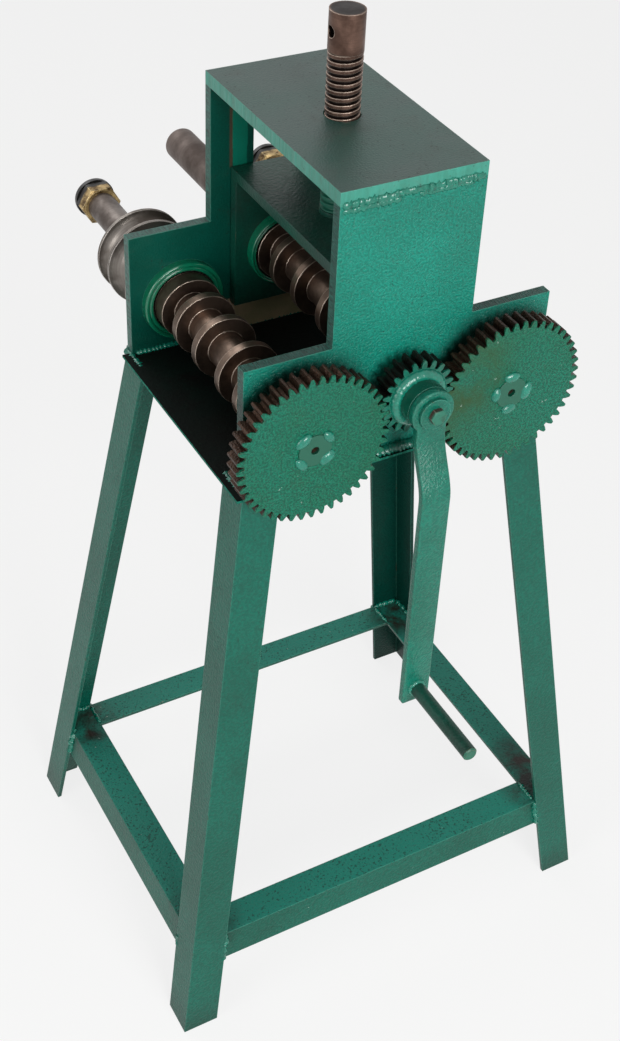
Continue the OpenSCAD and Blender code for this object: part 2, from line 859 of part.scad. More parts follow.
// Rear housing with a round nose that runs in the rear plate's slot
module carriage_rear_housing() {
  bore = bar_d + 2 * carriage_clear;
  color(enamel) along_y(0, middle_z) {
    housing_mirrored(cup_od, cheek_rear[1] - cup_depth, cheek_rear[1], carriage_ledge, bore);
    difference() {
      rod(nose_d, cheek_rear[1] - carriage_ledge, nose_end);
      rod(bore, cheek_rear[1] - carriage_ledge - over, nose_end + over);
    }
  }
}

module carriage_outer_races() {
  color(bright_steel) along_y(0, middle_z) {
    outer_race(mid_front_race);
    outer_race(mid_rear_race);
  }
}

module thrust_washer() {
  color(bronze) on_screw() difference() {
    rod(thrust_d, carriage_z, thrust_z);
    rod(tip_d + 2 * slide_clear, carriage_z - over, thrust_z + over);
  }
}

// Middle shaft, thicker behind its rear bearing, with a groove for the ring at its front end
module middle_shaft() {
  color(oily_steel) along_y(0, middle_z) difference() {
    union() {
      rod(shaft_d, cheek_front[0], mid_rear_race[1]);
      rod(bar_d - 2 * slide_clear, mid_rear_race[1], nose_end + slide_clear);
      rod(bar_d, nose_end + slide_clear, nut_back - bar_round);
      rotate_extrude() translate([bar_d / 2 - bar_round, nut_back - bar_round]) circle(r = bar_round);
      rod(bar_d - 2 * bar_round, nut_back - bar_round, nut_back);
    }
    difference() {
      rod(shaft_d + over, circlip_place[0], circlip_place[1]);
      rod(circlip_bore, circlip_place[0] - over, circlip_place[1] + over);
    }
  }
}

module middle_roller() {
  color(oily_steel) along_y(0, middle_z) roller(mid_front_race[1], mid_rear_race[0], shaft_d);
}

module middle_inner_races() {
  color(bright_steel) along_y(0, middle_z) {
    inner_race(mid_front_race);
    inner_race(mid_rear_race);
  }
}

// Spring ring in the middle shaft's groove, open at the bottom
module middle_circlip() {
  color(bright_steel) along_y(0, middle_z) difference() {
    rod(boss_d, circlip_place[0], circlip_place[1]);
    rod(circlip_bore, circlip_place[0] - over, circlip_place[1] + over);
    translate([-circlip_gap / 2, 0, circlip_place[0] - over])
      cube([circlip_gap, boss_d, circlip_t + 2 * over]);
  }
}

module middle_balls() {
  color(bright_steel) along_y(0, middle_z) {
    balls(mid_front_race);
    balls(mid_rear_race);
  }
}

// Press screw: threaded stem, plain head with a cross hole, thin tip below
module press_screw() {
  color(bare_steel) on_screw() difference() {
    union() {
      thread(thread_z, head_z, 0);
      rod(screw_d, head_z, head_z + head_len);
      rod(tip_d, collar_z - collar_h - over, thread_z);
    }
    translate([-screw_d, 0, head_z + head_len / 2]) rotate([0, 90, 0])
      cylinder(d = cross_hole_d, h = 2 * screw_d);
    collar_pin_solid();
  }
}

module collar_pin_solid() {
  translate([-collar_d / 2, 0, collar_z - collar_h / 2]) rotate([0, 90, 0])
    cylinder(d = pin_d, h = collar_d);
}

module screw_collar() {
  color(bright_steel) on_screw() difference() {
    rod(collar_d, collar_z - collar_h, collar_z);
    rod(tip_d, collar_z - collar_h - over, collar_z + over);
    collar_pin_solid();
  }
}

module collar_pin() {
  color(bright_steel) on_screw() collar_pin_solid();
}

module pinion() {
  color(enamel) difference() {
    translate([0, 0, pinion_z])
      slab(gear_front, gear_back) polygon(gear_outline(pinion_count, pinion_phase));
    along_y(0, pinion_z) rod(hub_d, gear_front - over, gear_back + over);
  }
}

module crank_hub() {
  color(enamel) along_y(0, pinion_z) difference() {
    rod(hub_d, -eye_reach, -slide_clear);
    rod(hub_bore, -eye_reach - over, over);
  }
}

module crank_bush() {
  color(bronze) along_y(0, pinion_z) difference() {
    rod(hub_bore, -eye_reach - arm_t, -slide_clear);
    rod(axle_d + 2 * running_clear, -eye_reach - arm_t - over, over);
  }
}

// Flat arm with a round eye, stepped forward below the hub
module crank_arm() {
  back = front_y - eye_reach;
  top = pinion_z;
  bend = top - step_start;
  straight = bend - step_h;
  color(enamel) difference() {
    union() {
      along_y(0, pinion_z) rod(eye_d, -eye_reach - arm_t, -eye_reach);
      translate([-arm_w / 2, 0, 0]) rotate([90, 0, 90]) linear_extrude(arm_w) polygon([
        [back, top], [back, bend], [back - arm_step, straight], [back - arm_step, top - arm_len],
        [back - arm_step - arm_t, top - arm_len], [back - arm_step - arm_t, straight],
        [back - arm_t, bend], [back - arm_t, top]
      ]);
    }
    along_y(0, pinion_z) rod(hub_bore, -eye_reach - arm_t - over, -eye_reach + over);
  }
}

// Plain round handle on the arm's front face, with a chamfered end
module crank_handle() {
  chamfer = handle_d / 10;
  color(enamel) along_y(0, pinion_z - arm_len + handle_up) {
    rod(handle_d, chamfer - handle_reach, -eye_reach - arm_step - arm_t);
    translate([0, 0, -handle_reach]) cylinder(d1 = handle_d - 2 * chamfer, d2 = handle_d, h = chamfer);
  }
}

leg_front_left();
leg_front_right();
leg_back_left();
leg_back_right();
rail_front();
rail_back();
rail_left();
rail_right();
deck_plate();
front_plate();
rear_plate();
top_plate();
guide_bars();
screw_nut();
front_housings();
rear_housings();
outer_races();
pinion_axle();
axle_bolt();
axle_washer();
left_shaft();
left_gear();
left_roller();
left_inner_races();
left_keys();
left_die();
left_sleeve();
left_lock_nut();
left_nut_insert();
left_balls();
right_shaft();
right_gear();
right_roller();
right_inner_races();
right_keys();
right_die();
right_sleeve();
right_lock_nut();
right_nut_insert();
right_balls();
carriage_top();
carriage_front_cheek();
carriage_rear_cheek();
carriage_front_housing();
carriage_rear_housing();
carriage_outer_races();
thrust_washer();
middle_shaft();
middle_roller();
middle_inner_races();
middle_circlip();
middle_balls();
press_screw();
screw_collar();
collar_pin();
pinion();
crank_hub();
crank_bush();
crank_arm();
crank_handle();
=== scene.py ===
import math
import random

import bmesh
import bpy
from mathutils import Matrix, Vector


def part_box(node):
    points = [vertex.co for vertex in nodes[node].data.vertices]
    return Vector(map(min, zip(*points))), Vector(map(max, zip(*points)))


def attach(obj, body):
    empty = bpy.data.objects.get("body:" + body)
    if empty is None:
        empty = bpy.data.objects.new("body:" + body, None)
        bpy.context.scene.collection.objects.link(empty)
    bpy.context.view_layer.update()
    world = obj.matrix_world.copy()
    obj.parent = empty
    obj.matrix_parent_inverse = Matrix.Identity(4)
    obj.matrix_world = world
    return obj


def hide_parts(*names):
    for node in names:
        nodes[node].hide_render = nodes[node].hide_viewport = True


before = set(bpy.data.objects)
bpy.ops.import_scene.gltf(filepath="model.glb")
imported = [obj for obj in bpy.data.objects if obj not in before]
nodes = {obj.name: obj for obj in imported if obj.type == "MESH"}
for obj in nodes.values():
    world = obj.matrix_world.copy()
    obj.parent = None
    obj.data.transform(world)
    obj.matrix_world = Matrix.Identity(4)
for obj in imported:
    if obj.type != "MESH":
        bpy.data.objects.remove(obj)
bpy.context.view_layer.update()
scene = bpy.context.scene
print("frame loaded with", len(nodes), "nodes")

# Places that the finishes and the welds share, all read from the frame, in metres
frontLow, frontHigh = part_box("front_plate")
rearLow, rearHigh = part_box("rear_plate")
topLow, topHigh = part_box("top_plate")
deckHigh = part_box("deck_plate")[1]
railLow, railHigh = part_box("rail_front")
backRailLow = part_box("rail_back")[0]
hubLow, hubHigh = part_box("crank_hub")
pinionLow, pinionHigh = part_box("pinion")
handleLow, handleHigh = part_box("crank_handle")
nutLow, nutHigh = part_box("screw_nut")
screwLow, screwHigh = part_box("press_screw")
ringLow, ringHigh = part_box("right_inner_races")
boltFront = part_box("axle_bolt")[0].y
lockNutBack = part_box("left_lock_nut")[1].y
crankX = 0.0
crankZ = (hubLow.z + hubHigh.z) / 2
hubRadius = (hubHigh.z - hubLow.z) / 2
handleRadius = (handleHigh.z - handleLow.z) / 2
gearFront = pinionLow.y
shaftX = (ringLow.x + ringHigh.x) / 2
shaftZ = (ringLow.z + ringHigh.z) / 2
screwY = (screwLow.y + screwHigh.y) / 2
screwRadius = (screwHigh.x - screwLow.x) / 2
bevelSamples = 4  # rays that round an edge in the shading


def linearColour(hexCode):
    parts = [int(hexCode[i:i + 2], 16) / 255 for i in (1, 3, 5)]
    return [c / 12.92 if c <= 0.04045 else ((c + 0.055) / 1.055) ** 2.4 for c in parts] + [1.0]


# Adds a node and gives back one of its outputs; a link is a socket, a hex colour or a plain value.
# In a Mix node 0 is the share, 2 and 3 are numbers, 6 and 7 colours, and the colour comes out at 2
def addNode(tree, kind, links=None, output=0, **settings):
    node = tree.nodes.new("ShaderNode" + kind)
    for key, value in settings.items():
        setattr(node, key, value)
    for key, value in (links or {}).items():
        if isinstance(value, bpy.types.NodeSocket):
            tree.links.new(value, node.inputs[key])
        else:
            node.inputs[key].default_value = linearColour(value) if isinstance(value, str) else value
    return node.outputs[output]


def startMaterial(name):
    material = bpy.data.materials.new(name)
    material.use_nodes = True
    tree = material.node_tree
    return material, tree, tree.nodes["Principled BSDF"], addNode(tree, "TexCoord", output="Object")


def linkShader(tree, shader, sockets):
    for name, value in sockets.items():
        tree.links.new(value, shader.inputs[name])


# Camera, fitted to the photograph's vanishing points and the gear axes
cameraSettings = {
    "place": (-0.6222, -1.0720, 1.4547),
    "right": (0.86626, -0.49616, 0.05853),
    "up": (0.26705, 0.55886, 0.78509),
    "focalPixels": 1619.08,
    "centrePixels": (363.68, 479.80),
    "imagePixels": (620, 1041),
    "sensorMm": 36,
    "clip": (0.05, 50),
}


def makeCamera(look):
    data = bpy.data.cameras.new("studioCamera")
    camera = bpy.data.objects.new("studioCamera", data)
    scene.collection.objects.link(camera)
    right, up = Vector(look["right"]), Vector(look["up"])
    turn = Matrix((right, up, right.cross(up))).transposed()
    camera.matrix_world = Matrix.Translation(look["place"]) @ turn.to_4x4()
    wide, tall = look["imagePixels"]
    data.sensor_width = look["sensorMm"]
    data.lens = look["focalPixels"] * data.sensor_width / tall
    data.shift_x = (wide / 2 - look["centrePixels"][0]) / tall
    data.shift_y = (look["centrePixels"][1] - tall / 2) / tall
    data.clip_start, data.clip_end = look["clip"]
    scene.camera = camera


makeCamera(cameraSettings)
print("camera set")

# What all the enamels share: pattern sizes in millimetres, shares and colours
enamelShared = {
    "grainMm": 0.9, "grainShare": 0.35, "patchMm": 110, "blotMm": 32, "speckMm": 2.2, "flakeMm": 9,
    "dragLong": 9, "stainCore": 0.3, "speckLevel": 0.66, "speckColour": "#12201a", "floorShadeShare": 0.45,
    "floorShadeColour": "#14241d", "edgeHighlightColour": "#5cb39d", "flakeFrom": 0.62, "flakeTo": 0.68, "chipAndGlintWide": 0.015,
    "chipAndGlintShare": 0.8, "chipAndGlintColour": "#9db0a6", "rustDark": "#2a1d16", "rustPale": "#7a5a44",
    "spillDeepMm": 5, "flankRoughness": 0.34, "flankMetal": 0.7, "dullRoughness": 0.62, "bumpDeepMm": 1.1,
    "ior": 1.5,
}
# Sockets of their Map Range nodes: 1 and 2 are the levels that go in, 3 and 4 what comes out
enamelRanges = {
    "patch": {1: 0.38, 2: 0.66},
    "pit": {1: 0.4, 2: 0.6, 4: 0.0},
    "side": {1: 0.6, 2: 0.4},
    "dragWorn": {1: 0.35, 2: 0.65},
    "dragDeep": {3: 1.0, 4: 3.0},
    "stain": {1: 0.52, 2: 0.74},
    "stainRagged": {1: 0.3, 2: 0.6},
    "upward": {1: 0.3, 2: 0.9},
    "scorchAndShadeRagged": {1: 0.62, 2: 0.38, 4: 1.5},
    "speckCluster": {1: 0.35, 2: 0.65, 3: 0.07, 4: -0.02},
    "speck": {1: 0.0, 2: 0.06, 4: 0.7},
    "bareRagged": {1: 0.3, 2: 0.7, 3: -0.12, 4: 0.12},
    "bareSide": {1: 1.05, 2: 0.92},
    "edge": {1: 0.99, 2: 0.86},
    "spillFront": {3: 0.25, 4: -0.2},
    "spill": {1: 0.66, 2: 0.6},
}


# Hammered skin with a dimple every few millimetres, in brush patches the size of a hand
def hammeredSkin(tree, look, base):
    shared, place = enamelShared, base["place"]
    cells = addNode(tree, "TexNoise", {"Vector": place, "Scale": 1000 / look["dimpleMm"], "Detail": 1.0})
    grain = addNode(tree, "TexNoise", {"Vector": place, "Scale": 1000 / shared["grainMm"], "Detail": 2.0})
    grain = addNode(tree, "Math", {0: grain, 1: shared["grainShare"]}, operation="MULTIPLY")
    base["height"] = addNode(tree, "Math", {0: cells, 1: grain}, operation="ADD")
    patches = addNode(tree, "TexNoise", {"Vector": place, "Scale": 1000 / shared["patchMm"],
                                         "Detail": 4.0, "Roughness": 0.6})
    base["patchy"] = addNode(tree, "MapRange", {0: patches, **enamelRanges["patch"]},
                             interpolation_type="SMOOTHSTEP")
    colour = addNode(tree, "Mix", {0: base["patchy"], 6: look["colour"], 7: look["shade"]}, 2,
                     data_type="RGBA")
    deep = addNode(tree, "MapRange", {0: cells, 3: look["pitShare"], **enamelRanges["pit"]})
    return addNode(tree, "Mix", {0: deep, 6: colour, 7: look["pit"]}, 2, data_type="RGBA")


# Flame-cut edges of the thick plates, with drag lines across the thickness
def flameCutEdges(tree, look, base, colour):
    across = addNode(tree, "Math", {0: base["facing"][look["cutAxis"]]}, operation="ABSOLUTE")
    cut = addNode(tree, "MapRange", {0: across, **enamelRanges["side"]})
    scale = [1000 / look["dragMm"]] * 3
    scale["XYZ".index(look["cutAxis"])] = 1000 / (look["dragMm"] * enamelShared["dragLong"])
    stretched = addNode(tree, "Mapping", {"Vector": base["place"], "Scale": scale})
    lines = addNode(tree, "TexNoise", {"Vector": stretched, "Scale": 1.0, "Detail": 3.0})
    height = addNode(tree, "Mix", {0: cut, 2: base["height"], 3: lines}, data_type="FLOAT")
    deeper = addNode(tree, "MapRange", {0: cut, **enamelRanges["dragDeep"]})
    base["height"] = addNode(tree, "Math", {0: height, 1: deeper}, operation="MULTIPLY")
    worn = addNode(tree, "MapRange", {0: lines, **enamelRanges["dragWorn"]},
                   interpolation_type="SMOOTHSTEP")
    edgeColour = addNode(tree, "Mix", {0: worn, 6: look["cutDark"], 7: look["cutColour"]}, 2,
                         data_type="RGBA")
    return addNode(tree, "Mix", {0: cut, 6: colour, 7: edgeColour}, 2, data_type="RGBA")


# Oil and handling stains, thickest round one place where the look names it
def oilStains(tree, look, base, colour):
    base["blots"] = addNode(tree, "TexNoise", {"Vector": base["place"],
                                               "Scale": 1000 / enamelShared["blotMm"], "Detail": 5.0,
                                               "Roughness": 0.65, "Distortion": 0.6})
    stain = addNode(tree, "MapRange", {0: base["blots"], 4: look["stain"], **enamelRanges["stain"]})
    if "stainNear" in look:
        reach = addNode(tree, "VectorMath", {0: base["place"], 1: look["stainNear"]}, "Value",
                        operation="DISTANCE")
        core = enamelShared["stainCore"] * look["stainReach"]
        near = addNode(tree, "MapRange", {0: reach, 1: look["stainReach"], 2: core},
                       interpolation_type="SMOOTHSTEP")
        ragged = addNode(tree, "MapRange", {0: base["blots"], **enamelRanges["stainRagged"]})
        near = addNode(tree, "Math", {0: near, 1: ragged}, operation="MULTIPLY")
        stain = addNode(tree, "Math", {0: stain, 1: near}, operation="MAXIMUM")
    base["stain"] = stain
    return addNode(tree, "Mix", {0: stain, 6: colour, 7: look["stainColour"]}, 2, data_type="RGBA")


# Dark zones: scorched round the welds, and painted shade on the plate behind the gears
def scorchAndShadeMarks(tree, scorchAndShade, base, colour):
    reach = None
    for spot in scorchAndShade["places"]:
        one = addNode(tree, "VectorMath", {0: base["place"], 1: spot}, "Value", operation="DISTANCE")
        reach = addNode(tree, "Math", {0: reach, 1: one}, operation="MINIMUM") if reach else one
    near = addNode(tree, "MapRange", {0: reach, 1: scorchAndShade["reach"], 2: scorchAndShade["core"], 4: scorchAndShade["share"]})
    ragged = addNode(tree, "MapRange", {0: base["blots"], 3: scorchAndShade["even"], **enamelRanges["scorchAndShadeRagged"]})
    near = addNode(tree, "Math", {0: near, 1: ragged}, operation="MULTIPLY", use_clamp=True)
    scorchedAndShaded = addNode(tree, "Mix", {0: base["patchy"], 6: scorchAndShade["colour"], 7: scorchAndShade["dark"]}, 2,
                    data_type="RGBA")
    return addNode(tree, "Mix", {0: near, 6: colour, 7: scorchedAndShaded}, 2, data_type="RGBA")


# Dark specks in loose clusters, thicker where a face looks up
def dustSpecks(tree, look, base, colour):
    level = enamelShared["speckLevel"]
    base["specks"] = addNode(tree, "TexNoise", {"Vector": base["place"],
                                                "Scale": 1000 / enamelShared["speckMm"], "Detail": 2.0})
    upward = addNode(tree, "MapRange", {0: base["facing"]["Z"], 3: level, 4: level - look["dust"],
                                        **enamelRanges["upward"]})
    sparse = addNode(tree, "MapRange", {0: base["blots"], **enamelRanges["speckCluster"]})
    speck = addNode(tree, "Math", {0: base["specks"], 1: upward}, operation="SUBTRACT")
    speck = addNode(tree, "Math", {0: speck, 1: sparse}, operation="SUBTRACT")
    base["speck"] = addNode(tree, "MapRange", {0: speck, **enamelRanges["speck"]})
    return addNode(tree, "Mix", {0: base["speck"], 6: colour, 7: enamelShared["speckColour"]}, 2,
                   data_type="RGBA")


# A bare place where something rubs: a box with soft, ragged sides
def bareSpot(tree, spot, base, colour):
    away = addNode(tree, "VectorMath", {0: base["place"], 1: spot["centre"]}, operation="SUBTRACT")
    away = addNode(tree, "VectorMath", {0: away}, operation="ABSOLUTE")
    away = addNode(tree, "VectorMath", {0: away, 1: spot["half"]}, operation="DIVIDE")
    sides = addNode(tree, "SeparateXYZ", {0: away}).node.outputs
    far = addNode(tree, "Math", {0: sides["X"], 1: sides["Y"]}, operation="MAXIMUM")
    far = addNode(tree, "Math", {0: far, 1: sides["Z"]}, operation="MAXIMUM")
    ragged = addNode(tree, "MapRange", {0: base["blots"], **enamelRanges["bareRagged"]})
    far = addNode(tree, "Math", {0: far, 1: ragged}, operation="ADD")
    share = addNode(tree, "MapRange", {0: far, 4: spot["share"], **enamelRanges["bareSide"]})
    mottled = addNode(tree, "Mix", {0: base["patchy"], 6: spot["colour"], 7: spot["dark"]}, 2,
                      data_type="RGBA")
    return addNode(tree, "Mix", {0: share, 6: colour, 7: mottled}, 2, data_type="RGBA")


# Rounded edges, lightened along their length as a painted highlight, and worn through to rusty steel here
# and there
def wornEdges(tree, look, base, colour):
    shared = enamelShared
    base["soft"] = addNode(tree, "Bevel", {"Radius": look["edgeMm"] / 1000}, samples=bevelSamples)
    turned = addNode(tree, "VectorMath", {0: base["soft"], 1: base["trueNormal"]}, "Value",
                     operation="DOT_PRODUCT")
    edge = addNode(tree, "MapRange", {0: turned, **enamelRanges["edge"]})
    # a painted highlight along the rounded edges
    highlight = addNode(tree, "Math", {0: edge, 1: look.get("edgeHighlight", 0.0)}, operation="MULTIPLY")
    colour = addNode(tree, "Mix", {0: highlight, 6: colour, 7: shared["edgeHighlightColour"]}, 2, data_type="RGBA")
    flakes = addNode(tree, "TexNoise", {"Vector": base["place"], "Scale": 1000 / shared["flakeMm"],
                                        "Detail": 4.0, "Roughness": 0.7})
    flake = addNode(tree, "MapRange", {0: flakes, 1: shared["flakeFrom"] - look["chips"],
                                       2: shared["flakeTo"] - look["chips"]})
    chip = addNode(tree, "Math", {0: edge, 1: flake}, operation="MULTIPLY")
    if "fleck" in look:
        # pale flecks on a face: chips in the paint and painted glints
        chipAndGlint = addNode(tree, "MapRange", {0: flakes, 1: look["fleck"],
                                          2: look["fleck"] + shared["chipAndGlintWide"], 4: shared["chipAndGlintShare"]})
        colour = addNode(tree, "Mix", {0: chipAndGlint, 6: colour, 7: shared["chipAndGlintColour"]}, 2, data_type="RGBA")
    rust = addNode(tree, "Mix", {0: base["specks"], 6: shared["rustDark"], 7: shared["rustPale"]}, 2,
                   data_type="RGBA")
    base["flakes"], base["chip"] = flakes, chip
    return addNode(tree, "Mix", {0: chip, 6: colour, 7: rust}, 2, data_type="RGBA")


# Cut teeth keep their oily steel, with a little paint over the front edge
def toothFlanks(tree, flanks, base, colour, rough):
    shared = enamelShared
    across = addNode(tree, "Math", {0: base["facing"]["Y"]}, operation="ABSOLUTE")
    flank = addNode(tree, "MapRange", {0: across, **enamelRanges["side"]})
    depth = addNode(tree, "SeparateXYZ", {0: base["place"]}, "Y")
    spillEnd = flanks["front"] + shared["spillDeepMm"] / 1000
    front = addNode(tree, "MapRange", {0: depth, 1: flanks["front"], 2: spillEnd,
                                       **enamelRanges["spillFront"]})
    spill = addNode(tree, "Math", {0: base["flakes"], 1: front}, operation="ADD")
    spill = addNode(tree, "MapRange", {0: spill, **enamelRanges["spill"]})
    flank = addNode(tree, "Math", {0: flank, 1: spill}, operation="MULTIPLY")
    oily = addNode(tree, "Mix", {0: base["patchy"], 6: flanks["colour"], 7: flanks["shade"]}, 2,
                   data_type="RGBA")
    colour = addNode(tree, "Mix", {0: flank, 6: colour, 7: oily}, 2, data_type="RGBA")
    rough = addNode(tree, "Mix", {0: flank, 2: rough, 3: shared["flankRoughness"]}, data_type="FLOAT")
    metal = addNode(tree, "Math", {0: flank, 1: shared["flankMetal"]}, operation="MULTIPLY")
    return colour, rough, metal


# Air-dried machine enamel, brushed on over mill scale: a soft gloss with a hammered skin,
# greyer where it is dusty, chipped to rust along the edges
def enamelPaint(name, look):
    shared = enamelShared
    material, tree, shader, place = startMaterial(name)
    trueNormal = addNode(tree, "NewGeometry", output="True Normal")
    facing = addNode(tree, "SeparateXYZ", {0: trueNormal}).node.outputs
    base = {"place": place, "trueNormal": trueNormal, "facing": facing}
    colour = hammeredSkin(tree, look, base)
    if "cutAxis" in look:
        colour = flameCutEdges(tree, look, base, colour)
    colour = oilStains(tree, look, base, colour)
    if "film" in look:
        # lighter where a face looks up: painted light from above, with a film of dust
        film = look["film"]
        lying = addNode(tree, "MapRange", {0: facing["Z"], 4: film["share"], **enamelRanges["upward"]})
        colour = addNode(tree, "Mix", {0: lying, 6: colour, 7: film["colour"]}, 2, data_type="RGBA")
    if "scorchAndShade" in look:
        colour = scorchAndShadeMarks(tree, look["scorchAndShade"], base, colour)
    colour = dustSpecks(tree, look, base, colour)
    if "groundMm" in look:
        # painted shade, darker towards the floor
        level = addNode(tree, "SeparateXYZ", {0: place}, "Z")
        floorShade = addNode(tree, "MapRange", {0: level, 1: look["groundMm"] / 1000, 2: 0.0,
                                           4: shared["floorShadeShare"]})
        colour = addNode(tree, "Mix", {0: floorShade, 6: colour, 7: shared["floorShadeColour"]}, 2, data_type="RGBA")
    for spot in look.get("bare", []):
        colour = bareSpot(tree, spot, base, colour)
    colour = wornEdges(tree, look, base, colour)
    dull = addNode(tree, "Math", {0: base["stain"], 1: base["chip"]}, operation="MAXIMUM")
    dull = addNode(tree, "Math", {0: dull, 1: base["speck"]}, operation="MAXIMUM")
    rough = addNode(tree, "MapRange", {0: dull, 3: look["roughness"], 4: shared["dullRoughness"]})
    if "flanks" in look:
        colour, rough, metal = toothFlanks(tree, look["flanks"], base, colour, rough)
        tree.links.new(metal, shader.inputs["Metallic"])
    bump = addNode(tree, "Bump", {"Height": base["height"], "Normal": base["soft"],
                                  "Strength": look["bump"], "Distance": shared["bumpDeepMm"] / 1000})
    linkShader(tree, shader, {"Base Color": colour, "Roughness": rough, "Normal": bump})
    shader.inputs["IOR"].default_value = shared["ior"]
    shader.inputs["Specular IOR Level"].default_value = look["gloss"]
    return material


# Corners of the stand where the welding scorched the paint, and one smear on the right-hand rail
cornerSettings = {"inX": 0.0225, "inY": 0.0055, "aboveZ": 0.008, "smearX": 0.003, "smearY": 0.028}
cornerX = railHigh.x - cornerSettings["inX"]
cornerYs = (railHigh.y - cornerSettings["inY"], backRailLow.y + cornerSettings["inY"])
cornerZ = railHigh.z + cornerSettings["aboveZ"]
scorched = [(x, y, cornerZ) for x in (-cornerX, cornerX) for y in cornerYs]
smearX, smearY = cornerX + cornerSettings["smearX"], cornerYs[0] + cornerSettings["smearY"]
scorched.append((smearX, smearY, railHigh.z))

# Inner face of the rear plate: bare below the carriage, lifted there as painted light, rubbed brown by its
# edges on both sides of the slot, and a lighter green strip beside the slot
slotSettings = {"sideX": 0.047, "reachX": 0.0385, "rubZ": topLow.z - 0.050, "lowZ": deckHigh.z + 0.0165}
slotSide = {"half": (0.0016, 0.004, 0.030), "share": 0.75, "colour": "#5d4636", "dark": "#36281f"}
slotBare = [
    # its colours are lifted above bare steel's as painted light in the carriage's shade
    {"centre": (0, rearLow.y, slotSettings["lowZ"]), "half": (0.052, 0.004, 0.018), "share": 0.92,
     "colour": "#c9a68a", "dark": "#8f8a66"},
    dict(slotSide, centre=(-slotSettings["sideX"], rearLow.y, slotSettings["rubZ"])),
    dict(slotSide, centre=(slotSettings["sideX"], rearLow.y, slotSettings["rubZ"])),
    {"centre": (-slotSettings["reachX"], rearLow.y, slotSettings["rubZ"]), "half": (0.007, 0.004, 0.045),
     "share": 0.7, "colour": "#0c8a70", "dark": "#067058"},
]

